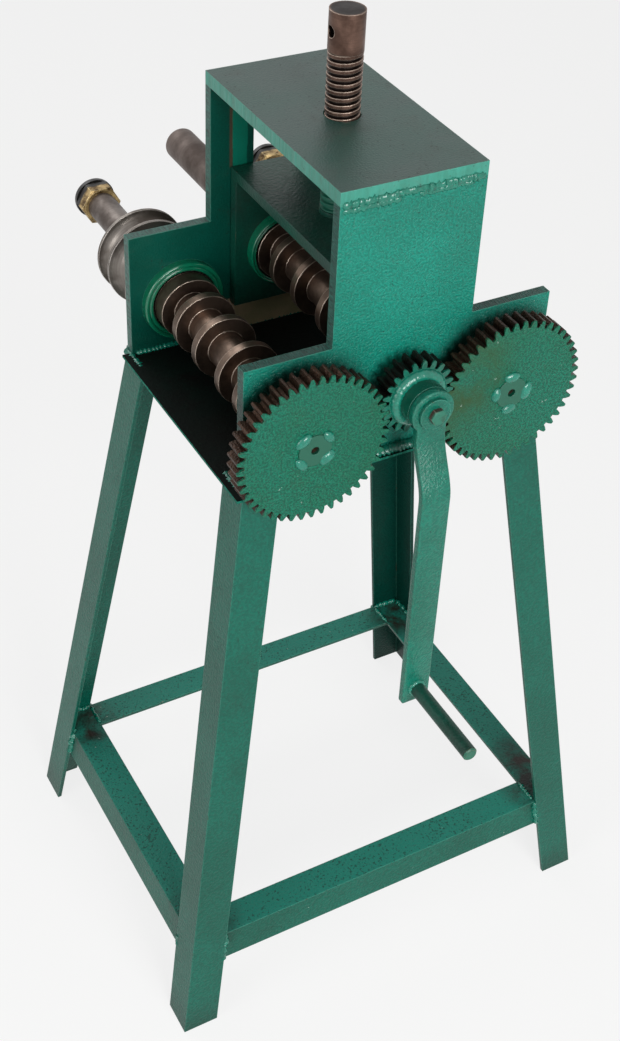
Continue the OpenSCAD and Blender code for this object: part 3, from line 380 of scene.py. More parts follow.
plateEnamel = {
    "colour": "#0d8572", "shade": "#0a7765", "pit": "#034a3d", "pitShare": 0.45, "dimpleMm": 1.9,
    "bump": 1.0, "roughness": 0.36, "gloss": 0.28, "stain": 0.16, "stainColour": "#2a5545", "dust": 0.02,
    "edgeMm": 1.2, "chips": 0.02, "edgeHighlight": 0.5, "cutAxis": "Y", "cutColour": "#2a6a5e",
    "cutDark": "#12382f", "dragMm": 1.0,
}
standEnamel = {
    "colour": "#0a7a69", "shade": "#0a6d5c", "pit": "#063d32", "pitShare": 0.4, "dimpleMm": 2.6,
    "bump": 0.6, "roughness": 0.4, "gloss": 0.25, "stain": 0.2, "stainColour": "#223f35", "dust": 0.095,
    "edgeMm": 1.6, "chips": 0.03, "edgeHighlight": 0.35, "fleck": 0.75,
}
enamels = {
    # round the gear centres its dark zones are painted shade on the plate behind the gears
    "frontPlateEnamel": dict(plateEnamel, fleck=0.73, scorchAndShade={
        "places": [(-shaftX, frontLow.y, shaftZ), (shaftX, frontLow.y, shaftZ)], "reach": 0.08,
        "core": 0.056, "share": 0.9, "even": 1.0, "colour": "#04352c", "dark": "#032821",
    }),
    # painted darker than the front plate: painted shade inside the head
    "rearPlateEnamel": dict(
        plateEnamel, colour="#004c3f", shade="#004236", pit="#003a2f", pitShare=0.3, bump=0.35,
        bare=slotBare,
    ),
    "topPlateEnamel": dict(
        plateEnamel, colour="#17473d", shade="#2b4640", pit="#12332b", pitShare=0.25, cutAxis="Z", bump=0.3,
        gloss=0.6, roughness=0.42, stain=0.35, stainColour="#3f4039", dust=0.04, cutColour="#2f8a78",
        cutDark="#287d6b", dragMm=5.0,
    ),
    "weldEnamel": {
        "colour": "#0e7d68", "shade": "#0b6e5b", "pit": "#054a3c", "pitShare": 0.3, "dimpleMm": 4.0,
        "bump": 0.35, "roughness": 0.2, "gloss": 0.6, "stain": 0.25, "stainColour": "#26382f", "dust": 0.0,
        "edgeMm": 0.4, "chips": -0.4,
    },
    # near black on top: oil, and painted shade under the head; its cut edges keep the green paint
    "deckEnamel": {
        "colour": "#06120e", "shade": "#080907", "pit": "#020403", "pitShare": 0.3, "dimpleMm": 3.0,
        "bump": 0.3, "roughness": 0.6, "gloss": 0.08, "stain": 0.9, "stainColour": "#070505", "dust": 0.04,
        "edgeMm": 0.8, "chips": 0.02, "cutAxis": "Z", "cutColour": "#1f806c", "cutDark": "#135747",
        "dragMm": 1.4,
    },
    # darker than the stand's enamel as painted shade near the floor, and lighter where they look up as
    # painted light
    "railEnamel": dict(
        standEnamel, colour="#07604f", shade="#065545", fleck=0.7,
        film={"colour": "#2a9583", "share": 0.45},
        scorchAndShade={"places": scorched, "reach": 0.046, "core": 0.014, "share": 0.8, "even": 0.2,
              "colour": "#2b221b", "dark": "#0b120e"},
    ),
    "legEnamel": dict(standEnamel, colour="#045f4e", shade="#055545", gloss=0.28, groundMm=38),
    # the back right leg, darker and duller than the others as painted shade under the head
    "shadedLegEnamel": dict(
        standEnamel, colour="#023a30", shade="#022f27", pit="#021f1a", gloss=0.08, groundMm=45,
    ),
    "carriageEnamel": {
        "colour": "#0a4a3b", "shade": "#123a31", "pit": "#062c22", "pitShare": 0.25, "dimpleMm": 3.0,
        "bump": 0.4, "roughness": 0.36, "gloss": 0.35, "stain": 0.4, "stainColour": "#1d201b",
        "dust": 0.04, "edgeMm": 1.2, "chips": 0.04,
    },
    "housingEnamel": {
        "colour": "#0a7252", "shade": "#086347", "pit": "#044632", "pitShare": 0.2, "dimpleMm": 5.0,
        "bump": 0.12, "roughness": 0.16, "gloss": 0.7, "stain": 0.2, "stainColour": "#12211a",
        "dust": 0.02, "edgeMm": 0.8, "chips": 0.0,
    },
    "crankEnamel": {
        "colour": "#0a725e", "shade": "#086350", "pit": "#033b32", "pitShare": 0.35, "dimpleMm": 2.2,
        "bump": 0.8, "roughness": 0.3, "gloss": 0.35, "stain": 0.2, "stainColour": "#243d30", "dust": 0.03,
        "edgeMm": 1.4, "chips": 0.06, "edgeHighlight": 0.5,
    },
    # darker than the crank's enamel as painted shade on the smooth hub
    "shadedHubEnamel": {
        "colour": "#06503f", "shade": "#054535", "pit": "#033026", "pitShare": 0.2, "dimpleMm": 4.0,
        "bump": 0.15, "roughness": 0.24, "gloss": 0.4, "stain": 0.3, "stainColour": "#1a2a22",
        "dust": 0.02, "edgeMm": 1.0, "chips": 0.0, "edgeHighlight": 0.4,
    },
    "handleEnamel": {
        "colour": "#0f4a3c", "shade": "#14352b", "pit": "#08241c", "pitShare": 0.3, "dimpleMm": 2.6,
        "bump": 0.35, "roughness": 0.42, "gloss": 0.35, "stain": 0.55, "stainColour": "#231f17",
        "dust": 0.04, "edgeMm": 1.0, "chips": 0.2,
        "bare": [{"centre": (0, handleLow.y, handleLow.z + handleRadius), "half": (0.02, 0.0015, 0.02),
                  "share": 0.8, "colour": "#2b7a60", "dark": "#1f5b48"}],
    },
    "gearEnamel": {
        "colour": "#096c55", "shade": "#0c664c", "pit": "#033326", "pitShare": 0.6, "dimpleMm": 1.9,
        "bump": 1.0, "roughness": 0.34, "gloss": 0.22, "stain": 0.18, "stainColour": "#2c4a2c",
        "dust": 0.03, "edgeMm": 0.7, "chips": 0.1, "fleck": 0.705,
        "stainNear": (pinionHigh.x, gearFront, crankZ), "stainReach": 0.075,
        "flanks": {"front": gearFront, "colour": "#4a362a", "shade": "#241a15"},
    },
    "pinionEnamel": {
        "colour": "#0f6c58", "shade": "#0c5b4a", "pit": "#053c30", "pitShare": 0.4, "dimpleMm": 2.8,
        "bump": 0.7, "roughness": 0.3, "gloss": 0.35, "stain": 0.3, "stainColour": "#28361f", "dust": 0.03,
        "edgeMm": 0.7, "chips": 0.06,
        "flanks": {"front": gearFront, "colour": "#241d19", "shade": "#120f0d"},
    },
}
paint = {name: enamelPaint(name, look) for name, look in enamels.items()}
print("enamels mixed:", len(paint))

# What all the steels share; the turning rings run round the piece, coarser than real ones so that they show
steelShared = {"aroundMm": 40, "filmRoughness": 0.16, "bumpDeepMm": 0.3}
steelRanges = {
    "film": {1: 0.36, 2: 0.66},
    "ringDark": {1: 0.4, 2: 0.7, 4: 0.35},
    "edge": {1: 0.995, 2: 0.9},
    "coatRagged": {3: -0.003, 4: 0.003},
}


# Plain carbon steel off the lathe: fine turning rings, a brown film of old oil, bright along the edges,
# partly rubbed steel and partly a painted highlight
def turnedSteel(name, look):
    material, tree, shader, place = startMaterial(name)
    trueNormal = addNode(tree, "NewGeometry", output="True Normal")
    film = addNode(tree, "TexNoise", {"Vector": place, "Scale": 1000 / look["filmMm"], "Detail": 5.0,
                                      "Roughness": 0.62})
    filmy = addNode(tree, "MapRange", {0: film, **steelRanges["film"]}, interpolation_type="SMOOTHSTEP")
    colour = addNode(tree, "Mix", {0: filmy, 6: look["colour"], 7: look["film"]}, 2, data_type="RGBA")
    scale = [1000 / steelShared["aroundMm"]] * 3
    scale["XYZ".index(look["axis"])] = 1000 / look["ringMm"]
    stretched = addNode(tree, "Mapping", {"Vector": place, "Scale": scale})
    rings = addNode(tree, "TexNoise", {"Vector": stretched, "Scale": 1.0, "Detail": 3.0})
    ringDark = addNode(tree, "MapRange", {0: rings, **steelRanges["ringDark"]})
    colour = addNode(tree, "Mix", {0: ringDark, 6: colour, 7: look["film"]}, 2, data_type="RGBA")
    soft = addNode(tree, "Bevel", {"Radius": look["edgeMm"] / 1000}, samples=bevelSamples)
    turned = addNode(tree, "VectorMath", {0: soft, 1: trueNormal}, "Value", operation="DOT_PRODUCT")
    # the bright edge line is partly rubbed steel and partly a painted highlight
    edge = addNode(tree, "MapRange", {0: turned, 4: look["shine"], **steelRanges["edge"]})
    colour = addNode(tree, "Mix", {0: edge, 6: colour, 7: look["bright"]}, 2, data_type="RGBA")
    rough = addNode(tree, "MapRange", {0: filmy, 3: look["roughness"],
                                       4: look["roughness"] + steelShared["filmRoughness"]})
    if "roots" in look:
        # oil and dirt lie in the grooves of the thread
        roots = look["roots"]
        level = addNode(tree, "VectorMath", {0: place, 1: (1, 1, 0)}, operation="MULTIPLY")
        reach = addNode(tree, "VectorMath", {0: level, 1: roots["centre"]}, "Value", operation="DISTANCE")
        root = addNode(tree, "MapRange", {0: reach, 1: roots["clean"], 2: roots["dirty"]})
        colour = addNode(tree, "Mix", {0: root, 6: colour, 7: roots["colour"]}, 2, data_type="RGBA")
    shader.inputs["Metallic"].default_value = look["metal"]
    if "coat" in look:
        # paint where the brush ran on from its neighbours, and a near-black band over the lock nuts' outer
        # ends
        coat = look["coat"]
        along = addNode(tree, "SeparateXYZ", {0: place}, coat["axis"])
        ragged = addNode(tree, "MapRange", {0: film, **steelRanges["coatRagged"]})
        along = addNode(tree, "Math", {0: along, 1: ragged}, operation="ADD")
        share = addNode(tree, "MapRange", {0: along, 1: coat["bare"], 2: coat["full"]})
        colour = addNode(tree, "Mix", {0: share, 6: colour, 7: coat["colour"]}, 2, data_type="RGBA")
        metal = addNode(tree, "MapRange", {0: share, 3: look["metal"], 4: 0.0})
        tree.links.new(metal, shader.inputs["Metallic"])
    bump = addNode(tree, "Bump", {"Height": rings, "Normal": soft, "Strength": look["bump"],
                                  "Distance": steelShared["bumpDeepMm"] / 1000})
    linkShader(tree, shader, {"Base Color": colour, "Roughness": rough, "Normal": bump})
    return material


rollerSteel = {
    "colour": "#7f6c5f", "film": "#4a3d34", "bright": "#d4c2b2", "filmMm": 38, "ringMm": 0.9, "axis": "Y",
    "edgeMm": 1.1, "shine": 0.95, "roughness": 0.28, "metal": 0.85, "bump": 0.25,
}
# A coat goes from bare to full between two places along its axis
shaftCoat = {"axis": "Y", "bare": gearFront + 0.003, "full": gearFront + 0.001, "colour": "#085440"}
screwCoat = {"axis": "Z", "bare": topLow.z - 0.003, "full": topLow.z - 0.005, "colour": "#14634f"}
boltCoat = {"axis": "Y", "bare": boltFront + 0.002, "full": boltFront, "colour": "#1d6652"}
lockNutCoat = {"axis": "Y", "bare": lockNutBack - 0.009, "full": lockNutBack - 0.006, "colour": "#15110d"}
threadRoots = {"centre": (0, screwY, 0), "dirty": screwRadius - 0.0022, "clean": screwRadius - 0.0007,
               "colour": "#1c1411"}
steels = {
    "rollerSteel": rollerSteel,
    "dieSteel": dict(rollerSteel, colour="#857f79", film="#544c46", bright="#c9c2bb", roughness=0.36),
    "shaftSteel": dict(rollerSteel, coat=shaftCoat),
    "barSteel": dict(rollerSteel, colour="#6f635d", film="#4c403a", bright="#9b8c84", shine=0.4,
                     roughness=0.5, metal=0.6, ringMm=2.2, bump=0.35),
    "sleeveSteel": dict(rollerSteel, colour="#7d7570", film="#544b46", shine=0.5, roughness=0.42),
    "screwSteel": dict(rollerSteel, colour="#6d554a", film="#44322a", axis="Z", filmMm=22, roughness=0.36,
                       shine=0.6, roots=threadRoots, coat=screwCoat),
    "boltSteel": dict(rollerSteel, colour="#4a3d35", film="#2b1c14", filmMm=6, roughness=0.55, metal=0.45,
                      shine=0.5, bump=0.4, coat=boltCoat),
    "groundSteel": dict(rollerSteel, colour="#9a958f", film="#6d655e", bright="#d8d4cf", roughness=0.28,
                        metal=0.95, bump=0.12),
    "bearingSteel": dict(rollerSteel, colour="#a8a49e", film="#5d544c", bright="#dedad4", filmMm=14,
                         roughness=0.2, metal=1.0, bump=0.06),
    "shieldSteel": dict(rollerSteel, colour="#4a4541", film="#231d1a", bright="#8d857d", filmMm=9,
                        roughness=0.4, metal=0.6, bump=0.1),
    "yellowZinc": dict(rollerSteel, colour="#c9ad78", film="#4a3418", bright="#ecdcb2", filmMm=8,
                       roughness=0.38, metal=0.75, shine=0.6, bump=0.15, coat=lockNutCoat),
    "leadBronze": dict(rollerSteel, colour="#a07a3c", film="#5f4522", bright="#d6b070", roughness=0.4,
                       metal=0.9, bump=0.12),
}
steel = {name: turnedSteel(name, look) for name, look in steels.items()}
print("steels mixed:", len(steel))

nylonSettings = {
    "colour": "#161412", "scuff": "#3d3833", "scuffMm": 5, "scuffRange": {1: 0.55, 2: 0.75, 4: 0.6},
    "roughRange": {3: 0.38, 4: 0.6}, "bump": 0.2, "bumpDeepMm": 0.4,
}


# Moulded nylon of the lock nuts' inserts: dull black with pale scuffs
def blackNylon(name, look):
    material, tree, shader, place = startMaterial(name)
    scuffs = addNode(tree, "TexNoise", {"Vector": place, "Scale": 1000 / look["scuffMm"], "Detail": 5.0,
                                        "Roughness": 0.7})
    scuff = addNode(tree, "MapRange", {0: scuffs, **look["scuffRange"]})
    colour = addNode(tree, "Mix", {0: scuff, 6: look["colour"], 7: look["scuff"]}, 2, data_type="RGBA")
    rough = addNode(tree, "MapRange", {0: scuff, **look["roughRange"]})
    bump = addNode(tree, "Bump", {"Height": scuffs, "Strength": look["bump"],
                                  "Distance": look["bumpDeepMm"] / 1000})
    linkShader(tree, shader, {"Base Color": colour, "Roughness": rough, "Normal": bump})
    return material


insertNylon = blackNylon("insertNylon", nylonSettings)

finishes = {
    paint["frontPlateEnamel"]: ["front_plate"],
    paint["rearPlateEnamel"]: ["rear_plate"],
    paint["topPlateEnamel"]: ["top_plate"],
    paint["deckEnamel"]: ["deck_plate"],
    paint["railEnamel"]: ["rail_front", "rail_back", "rail_left", "rail_right"],
    paint["legEnamel"]: ["leg_front_left", "leg_front_right", "leg_back_left"],
    paint["shadedLegEnamel"]: ["leg_back_right"],
    paint["carriageEnamel"]: ["carriage_top", "carriage_front_cheek", "carriage_rear_cheek", "guide_bars",
                              "screw_nut", "thrust_washer"],
    paint["housingEnamel"]: ["front_housings", "rear_housings", "carriage_front_housing",
                             "carriage_rear_housing"],
    paint["crankEnamel"]: ["crank_arm", "axle_washer"],
    paint["shadedHubEnamel"]: ["crank_hub"],
    paint["handleEnamel"]: ["crank_handle"],
    paint["gearEnamel"]: ["left_gear", "right_gear"],
    paint["pinionEnamel"]: ["pinion"],
    steel["rollerSteel"]: ["left_roller", "right_roller", "middle_roller"],
    steel["dieSteel"]: ["left_die", "right_die"],
    steel["shaftSteel"]: ["left_shaft", "right_shaft"],
    steel["barSteel"]: ["middle_shaft"],
    steel["sleeveSteel"]: ["left_sleeve", "right_sleeve"],
    steel["screwSteel"]: ["press_screw"],
    steel["boltSteel"]: ["axle_bolt"],
    steel["groundSteel"]: ["pinion_axle", "left_keys", "right_keys", "middle_circlip", "screw_collar",
                           "collar_pin"],
    steel["bearingSteel"]: ["outer_races", "carriage_outer_races", "left_inner_races", "right_inner_races",
                            "middle_inner_races", "left_balls", "right_balls", "middle_balls"],
    steel["yellowZinc"]: ["left_lock_nut", "right_lock_nut"],
    steel["leadBronze"]: ["crank_bush"],
    insertNylon: ["left_nut_insert", "right_nut_insert"],
}
for finish, names in finishes.items():
    for name in names:
        nodes[name].data.materials.clear()
        nodes[name].data.materials.append(finish)
print("finishes given to", sum(len(names) for names in finishes.values()), "nodes")


def addPiece(name, mesh, material, body):
    data = bpy.data.meshes.new(name)
    bmesh.ops.recalc_face_normals(mesh, faces=mesh.faces)
    mesh.to_mesh(data)
    mesh.free()
    data.materials.append(material)
    for face in data.polygons:
        face.use_smooth = True
    piece = bpy.data.objects.new(name, data)
    scene.collection.objects.link(piece)
    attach(piece, body)
    return piece


# Weld beads: a ring of points is drawn along the seam and swells at every ripple of the weld pool
beadSettings = {
    "sides": 10, "stepMm": 1.3, "ripple": 0.16, "rippleTurn": 2.1, "wander": 0.12, "startSize": 0.35,
    "endSize": 0.45, "smoothRipple": 0.04, "roughWander": 0.3, "evenWander": 0.05,
}


def weldBead(mesh, places, radius, ripple, wander, seed):
    look = beadSettings
    chance = random.Random(seed)
    first, second = Vector(places[0]), Vector(places[1])
    aim = (second - first).to_track_quat("Z", "X").to_matrix().to_4x4()
    size = look["startSize"]
    start = bmesh.ops.create_circle(mesh, cap_ends=True, segments=look["sides"], radius=radius * size,
                                    matrix=Matrix.Translation(first) @ aim)
    ring = start["verts"]
    face = [f for f in mesh.faces if all(v in ring for v in f.verts)][0]
    for index in range(1, len(places)):
        spot, before = Vector(places[index]), Vector(places[index - 1])
        grown = bmesh.ops.extrude_discrete_faces(mesh, faces=[face])
        face = grown["faces"][0]
        last = index >= len(places) - 2
        swell = 1 + ripple * math.sin(index * look["rippleTurn"]) + chance.uniform(-wander, wander)
        wanted = look["endSize"] if last else swell
        middle = Vector((0, 0, 0))
        for vert in face.verts:
            middle += vert.co / len(face.verts)
        drift = Vector([chance.uniform(-1, 1) * radius * wander for axis in range(3)])
        bmesh.ops.translate(mesh, verts=face.verts, vec=spot + drift - middle)
        if index < len(places) - 1:
            turn = (spot - before).rotation_difference(Vector(places[index + 1]) - spot)
            bmesh.ops.rotate(mesh, verts=face.verts, cent=spot + drift, matrix=turn.to_matrix())
        bmesh.ops.scale(mesh, verts=face.verts, vec=[wanted / size] * 3,
                        space=Matrix.Translation(-(spot + drift)))
        size = wanted


def linePlaces(start, end):
    start, end = Vector(start), Vector(end)
    steps = max(4, round((end - start).length * 1000 / beadSettings["stepMm"]))
    return [start.lerp(end, i / steps) for i in range(steps + 1)]


def ringPlaces(centre, radius, axis):
    steps = round(2 * math.pi * radius * 1000 / beadSettings["stepMm"])
    side, other = {"Y": ("X", "Z"), "Z": ("X", "Y")}[axis]
    places = []
    for i in range(steps + 2):
        spot = Vector(centre)
        spot["XYZ".index(side)] += radius * math.cos(2 * math.pi * i / steps)
        spot["XYZ".index(other)] += radius * math.sin(2 * math.pi * i / steps)
        places.append(spot)
    return places


# Each seam is its places and the bead's radius; flat presses the whole piece towards its plate
def beadPiece(name, seams, body, seed, ripple=beadSettings["ripple"], wander=beadSettings["wander"],
              flat=1.0):
    mesh = bmesh.new()
    for number, (places, radius) in enumerate(seams):
        weldBead(mesh, places, radius, ripple, wander, seed + number)
    if flat < 1:
        base = Vector(seams[0][0][0])
        bmesh.ops.scale(mesh, verts=mesh.verts, vec=(1, flat, 1), space=Matrix.Translation(-base))
    return addPiece(name, mesh, paint["weldEnamel"], body)


# Seams of the head in metres: radius of the bead, how short it stops and how far below the seam it runs
headSeams = {
    "topRadius": 0.0034, "topShort": 0.002, "topFlat": 0.5,
    "leftRadius": 0.0028, "leftShort": 0.003, "leftEndX": -0.012, "leftBelow": (0.005, 0.0045),
    "rightRadius": 0.0025, "rightShort": 0.012, "rightStartX": 0.004, "rightBelow": (0.004, 0.0035),
    "rearRadius": 0.0042,
    "deckRadius": 0.006, "deckShort": 0.004, "deckProud": 0.001, "innerRadius": 0.003, "innerReach": 0.050,
}


def topWelds(look):
    y, z = frontLow.y, topLow.z
    leftX, rightX = topLow.x + look["topShort"], topHigh.x - look["topShort"]
    leftBelow, rightBelow = look["leftBelow"], look["rightBelow"]
    beadPiece("top_front_weld", [
        (linePlaces((leftX, y, z), (rightX, y, z)), look["topRadius"]),
        (linePlaces((topLow.x + look["leftShort"], y, z - leftBelow[0]),
                    (look["leftEndX"], y, z - leftBelow[1])), look["leftRadius"]),
        (linePlaces((look["rightStartX"], y, z - rightBelow[0]),
                    (topHigh.x - look["rightShort"], y, z - rightBelow[1])), look["rightRadius"]),
    ], "frame", seed=11, ripple=beadSettings["smoothRipple"], wander=beadSettings["roughWander"],
        flat=look["topFlat"])
    beadPiece("top_rear_weld", [
        (linePlaces((leftX, rearHigh.y, z), (rightX, rearHigh.y, z)), look["rearRadius"]),
    ], "frame", seed=21)


def deckWelds(look):
    short, reach = look["deckShort"], look["innerReach"]
    y, z = frontLow.y - look["deckProud"], deckHigh.z
    leftX, rightX = rearLow.x + short, rearHigh.x - short
    beadPiece("deck_welds", [
        (linePlaces((frontLow.x + short, y, z), (frontHigh.x - short, y, z)), look["deckRadius"]),
        (linePlaces((leftX, deckHigh.y, rearLow.z), (rightX, deckHigh.y, rearLow.z)), look["innerRadius"]),
        (linePlaces((leftX, rearLow.y, z), (rearLow.x + reach, rearLow.y, z)), look["innerRadius"]),
        (linePlaces((rearHigh.x - reach, rearLow.y, z), (rightX, rearLow.y, z)), look["innerRadius"]),
    ], "frame", seed=31)


topWelds(headSeams)
deckWelds(headSeams)

# Joints of the stand in metres: beads over and down both flanges of each leg, one where the rails butt
# and two at the leg's top, under the deck
standSeams = {
    "legIron": 0.004, "legFlange": 0.036, "railIron": 0.004, "railFlange": 0.032,
    "upperRadius": 0.003, "upperStart": 0.003, "upperProud": 0.001, "sideRadius": 0.0034,
    "buttRadius": 0.0022, "buttShort": 0.002, "legTopRadius": 0.0034,
}


def standWelds(look):
    railSeams, legSeams = [], []
    iron, flange = look["legIron"], look["legFlange"]
    inward = flange - iron
    for sideX in (-1, 1):
        for sideY in (-1, 1):
            legName = "leg_" + ("front_" if sideY < 0 else "back_") + ("left" if sideX < 0 else "right")
            legLow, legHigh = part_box(legName)
            footX, topX = (legHigh.x, legLow.x) if sideX > 0 else (legLow.x, legHigh.x)
            footY, topY = (legHigh.y, legLow.y) if sideY > 0 else (legLow.y, legHigh.y)
            foot = Vector((footX, footY, 0))
            top = Vector((topX + sideX * flange, topY + sideY * flange, legHigh.z))
            high = foot.lerp(top, railHigh.z / legHigh.z) - Vector((sideX, sideY, 0)) * iron
            low = foot.lerp(top, railLow.z / legHigh.z) - Vector((sideX, sideY, 0)) * iron
            acrossX, acrossY = Vector((-sideX, 0, 0)), Vector((0, -sideY, 0))
            for along, aside in ((acrossX, acrossY), (acrossY, acrossX)):
                begin = high + along * look["upperStart"] + aside * look["upperProud"]
                end = high + along * inward + aside * look["upperProud"]
                railSeams.append((linePlaces(begin, end), look["upperRadius"]))
            for along in (acrossX, acrossY):
                side = linePlaces(high + along * inward, low + along * inward)
                railSeams.append((side, look["sideRadius"]))
            butt = high + acrossX * look["railFlange"]
            buttEnd = butt + acrossY * (look["railFlange"] - look["buttShort"])
            railSeams.append((linePlaces(butt + acrossY * look["railIron"], buttEnd), look["buttRadius"]))
            for along in (acrossX, acrossY):
                legSeams.append((linePlaces(top, top + along * flange), look["legTopRadius"]))
    beadPiece("stand_welds", railSeams, "frame", seed=71, ripple=beadSettings["smoothRipple"],
              wander=beadSettings["roughWander"])
    beadPiece("leg_top_welds", legSeams, "frame", seed=101)


standWelds(standSeams)

# Ring beads, in metres: round the crank's hub, the handle and the nut of the press screw
ringSeams = {"hubRadius": 0.0056, "hubProud": 0.0012, "handleRadius": 0.0024, "nutRadius": 0.0036}


def ringWelds(look):
    handleZ = (handleLow.z + handleHigh.z) / 2
    beadPiece("hub_weld", [
        (ringPlaces((crankX, pinionLow.y, crankZ), hubRadius + look["hubProud"], "Y"), look["hubRadius"]),
    ], "crank", seed=131, ripple=beadSettings["smoothRipple"], wander=beadSettings["evenWander"])
    beadPiece("handle_weld", [
        (ringPlaces((crankX, handleHigh.y, handleZ), handleRadius, "Y"), look["handleRadius"]),
    ], "crank", seed=141)
    nutY = (nutLow.y + nutHigh.y) / 2
    beadPiece("screw_nut_weld", [
        (ringPlaces((0, nutY, nutHigh.z), (nutHigh.x - nutLow.x) / 2, "Z"), look["nutRadius"]),
    ], "frame", seed=151)


ringWelds(ringSeams)
print("welds laid")


# Four short tacks hold each large gear to its shaft; they are flattened, lumpy drops of weld metal
tackSettings = {
    "reachMm": 16.0, "longMm": 7.8, "wideMm": 4.8, "highMm": 3.2, "grow": (0.88, 1.12),
    "lumps": 5, "lumpHigh": 0.13, "lumpSharp": 6, "seeds": {"left": 68, "right": 85},
    "turns": {"left": (38, 131, 222, 316), "right": (92, 172, 268, 350)},
}


def gearTacks(side, look):
    low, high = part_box(side + "_gear")
    middle = Vector(((low.x + high.x) / 2, low.y, (low.z + high.z) / 2))
    chance = random.Random(look["seeds"][side])
    mesh = bmesh.new()
    for turn in look["turns"][side]:
        made = bmesh.ops.create_icosphere(mesh, subdivisions=3, radius=1.0)["verts"]
        bulge = [Vector([chance.uniform(-1, 1) for axis in range(3)]).normalized()
                 for lump in range(look["lumps"])]
        for vert in made:
            aim = vert.co.normalized()
            swell = sum(max(0.0, aim.dot(lump)) ** look["lumpSharp"] for lump in bulge)
            vert.co *= 1 + look["lumpHigh"] * swell
        grow = chance.uniform(*look["grow"])
        bmesh.ops.scale(mesh, verts=made, vec=(look["wideMm"] / 1000 * grow, look["highMm"] / 1000,
                                               look["longMm"] / 1000 * grow))
        bmesh.ops.translate(mesh, verts=made, vec=(look["reachMm"] / 1000, 0, 0))
        bmesh.ops.rotate(mesh, verts=made, cent=(0, 0, 0),
                         matrix=Matrix.Rotation(-math.radians(turn), 3, "Y"))
        bmesh.ops.translate(mesh, verts=made, vec=middle)
    return addPiece(side + "_gear_tacks", mesh, paint["weldEnamel"], side + "_drive")


for side in ("left", "right"):
    gearTacks(side, tackSettings)
print("gear tacks laid")


# Crank arm: one flat bar, forged round at its eye and cranked forwards in two smooth bends
armSettings = {
    "halfMm": 14.0, "thickMm": 8.0, "boreGapMm": 0.1, "eyeSteps": 40, "cutMm": 4.0, "roundMm": 1.6,
    "roundSteps": 3, "bendStartMm": 22.0, "bendLongMm": 60.0, "sharpDegrees": 60, "flatDegrees": 0.5,
}
mergeDistance = 1e-6
sameLevel = 1e-5


def crankArm(look):
    low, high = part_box("crank_arm")
    boreLow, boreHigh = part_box("crank_bush")
    bore = (boreHigh.x - boreLow.x) / 2 + look["boreGapMm"] / 1000
    eyeRadius = high.z - crankZ
    half = look["halfMm"] / 1000
    thick = look["thickMm"] / 1000
    back = boreLow.y + thick
    step = back - thick - low.y
    drop = math.sqrt(eyeRadius ** 2 - half ** 2)
    mesh = bmesh.new()
    # outline at the height of the eye: up one side, round the eye, down the other side
    foot = mesh.verts.new((half, back, low.z))
    neck = mesh.verts.new((half, back, crankZ - drop))
    mesh.edges.new((foot, neck))
    sweep = 2 * math.pi - 2 * math.atan2(half, drop)
    arc = bmesh.ops.spin(mesh, geom=[neck], cent=(0, back, crankZ), axis=(0, -1, 0), angle=sweep,
                         steps=look["eyeSteps"], dvec=(0, 0, 0))
    last = arc["geom_last"][0]
    end = mesh.verts.new((-half, back, low.z))
    mesh.edges.new((last, end))
    mesh.edges.new((end, foot))
    eye = Matrix.Translation((0, back, crankZ)) @ Matrix.Rotation(math.pi / 2, 4, "X")
    bmesh.ops.create_circle(mesh, segments=look["eyeSteps"], radius=bore, matrix=eye)
    flat = bmesh.ops.triangle_fill(mesh, edges=mesh.edges, use_beauty=True)["geom"]
    faces = [f for f in flat if isinstance(f, bmesh.types.BMFace)]
    grown = bmesh.ops.extrude_face_region(mesh, geom=faces, use_keep_orig=True)["geom"]
    front = [v for v in grown if isinstance(v, bmesh.types.BMVert)]
    bmesh.ops.translate(mesh, verts=front, vec=(0, -thick, 0))
    bmesh.ops.remove_doubles(mesh, verts=mesh.verts, dist=mergeDistance)
    bmesh.ops.recalc_face_normals(mesh, faces=mesh.faces)
    # cross cuts, so that the bar can bend
    level = low.z + look["cutMm"] / 1000
    while level < crankZ - drop:
        bmesh.ops.bisect_plane(mesh, geom=mesh.verts[:] + mesh.edges[:] + mesh.faces[:], dist=mergeDistance,
                               plane_co=(0, 0, level), plane_no=(0, 0, 1))
        level += look["cutMm"] / 1000
    slanted = [e for e in mesh.edges if e.is_manifold and abs(e.verts[0].co.z - e.verts[1].co.z) > sameLevel
               and abs(e.verts[0].co.x - e.verts[1].co.x) > sameLevel]
    bmesh.ops.dissolve_limit(mesh, angle_limit=math.radians(look["flatDegrees"]), verts=mesh.verts,
                             edges=slanted)
    sharpAngle = math.radians(look["sharpDegrees"])
    sharp = [e for e in mesh.edges if len(e.link_faces) == 2 and e.calc_face_angle() > sharpAngle]
    bmesh.ops.bevel(mesh, geom=sharp, offset=look["roundMm"] / 1000, segments=look["roundSteps"],
                    profile=0.5, affect="EDGES", material=-1)
    bendTop = crankZ - look["bendStartMm"] / 1000
    for vert in mesh.verts:
        share = min(1.0, max(0.0, (bendTop - vert.co.z) * 1000 / look["bendLongMm"]))
        vert.co.y -= step * share * share * (3 - 2 * share)
    piece = addPiece("forged_crank_arm", mesh, paint["crankEnamel"], "crank")
    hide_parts("crank_arm")
    return piece


crankArm(armSettings)
print("crank arm forged")


# Drops of weld spatter under the paint, each a flattened ball of a few faces
spatterSettings = {
    "count": 46, "smallMm": 0.5, "largeMm": 1.2, "flat": 0.7, "seed": 5,
    "insetMm": 12, "spreadMm": 90, "cornerMm": 4, "cornerHighMm": 108, "belowTopMm": 8,
}


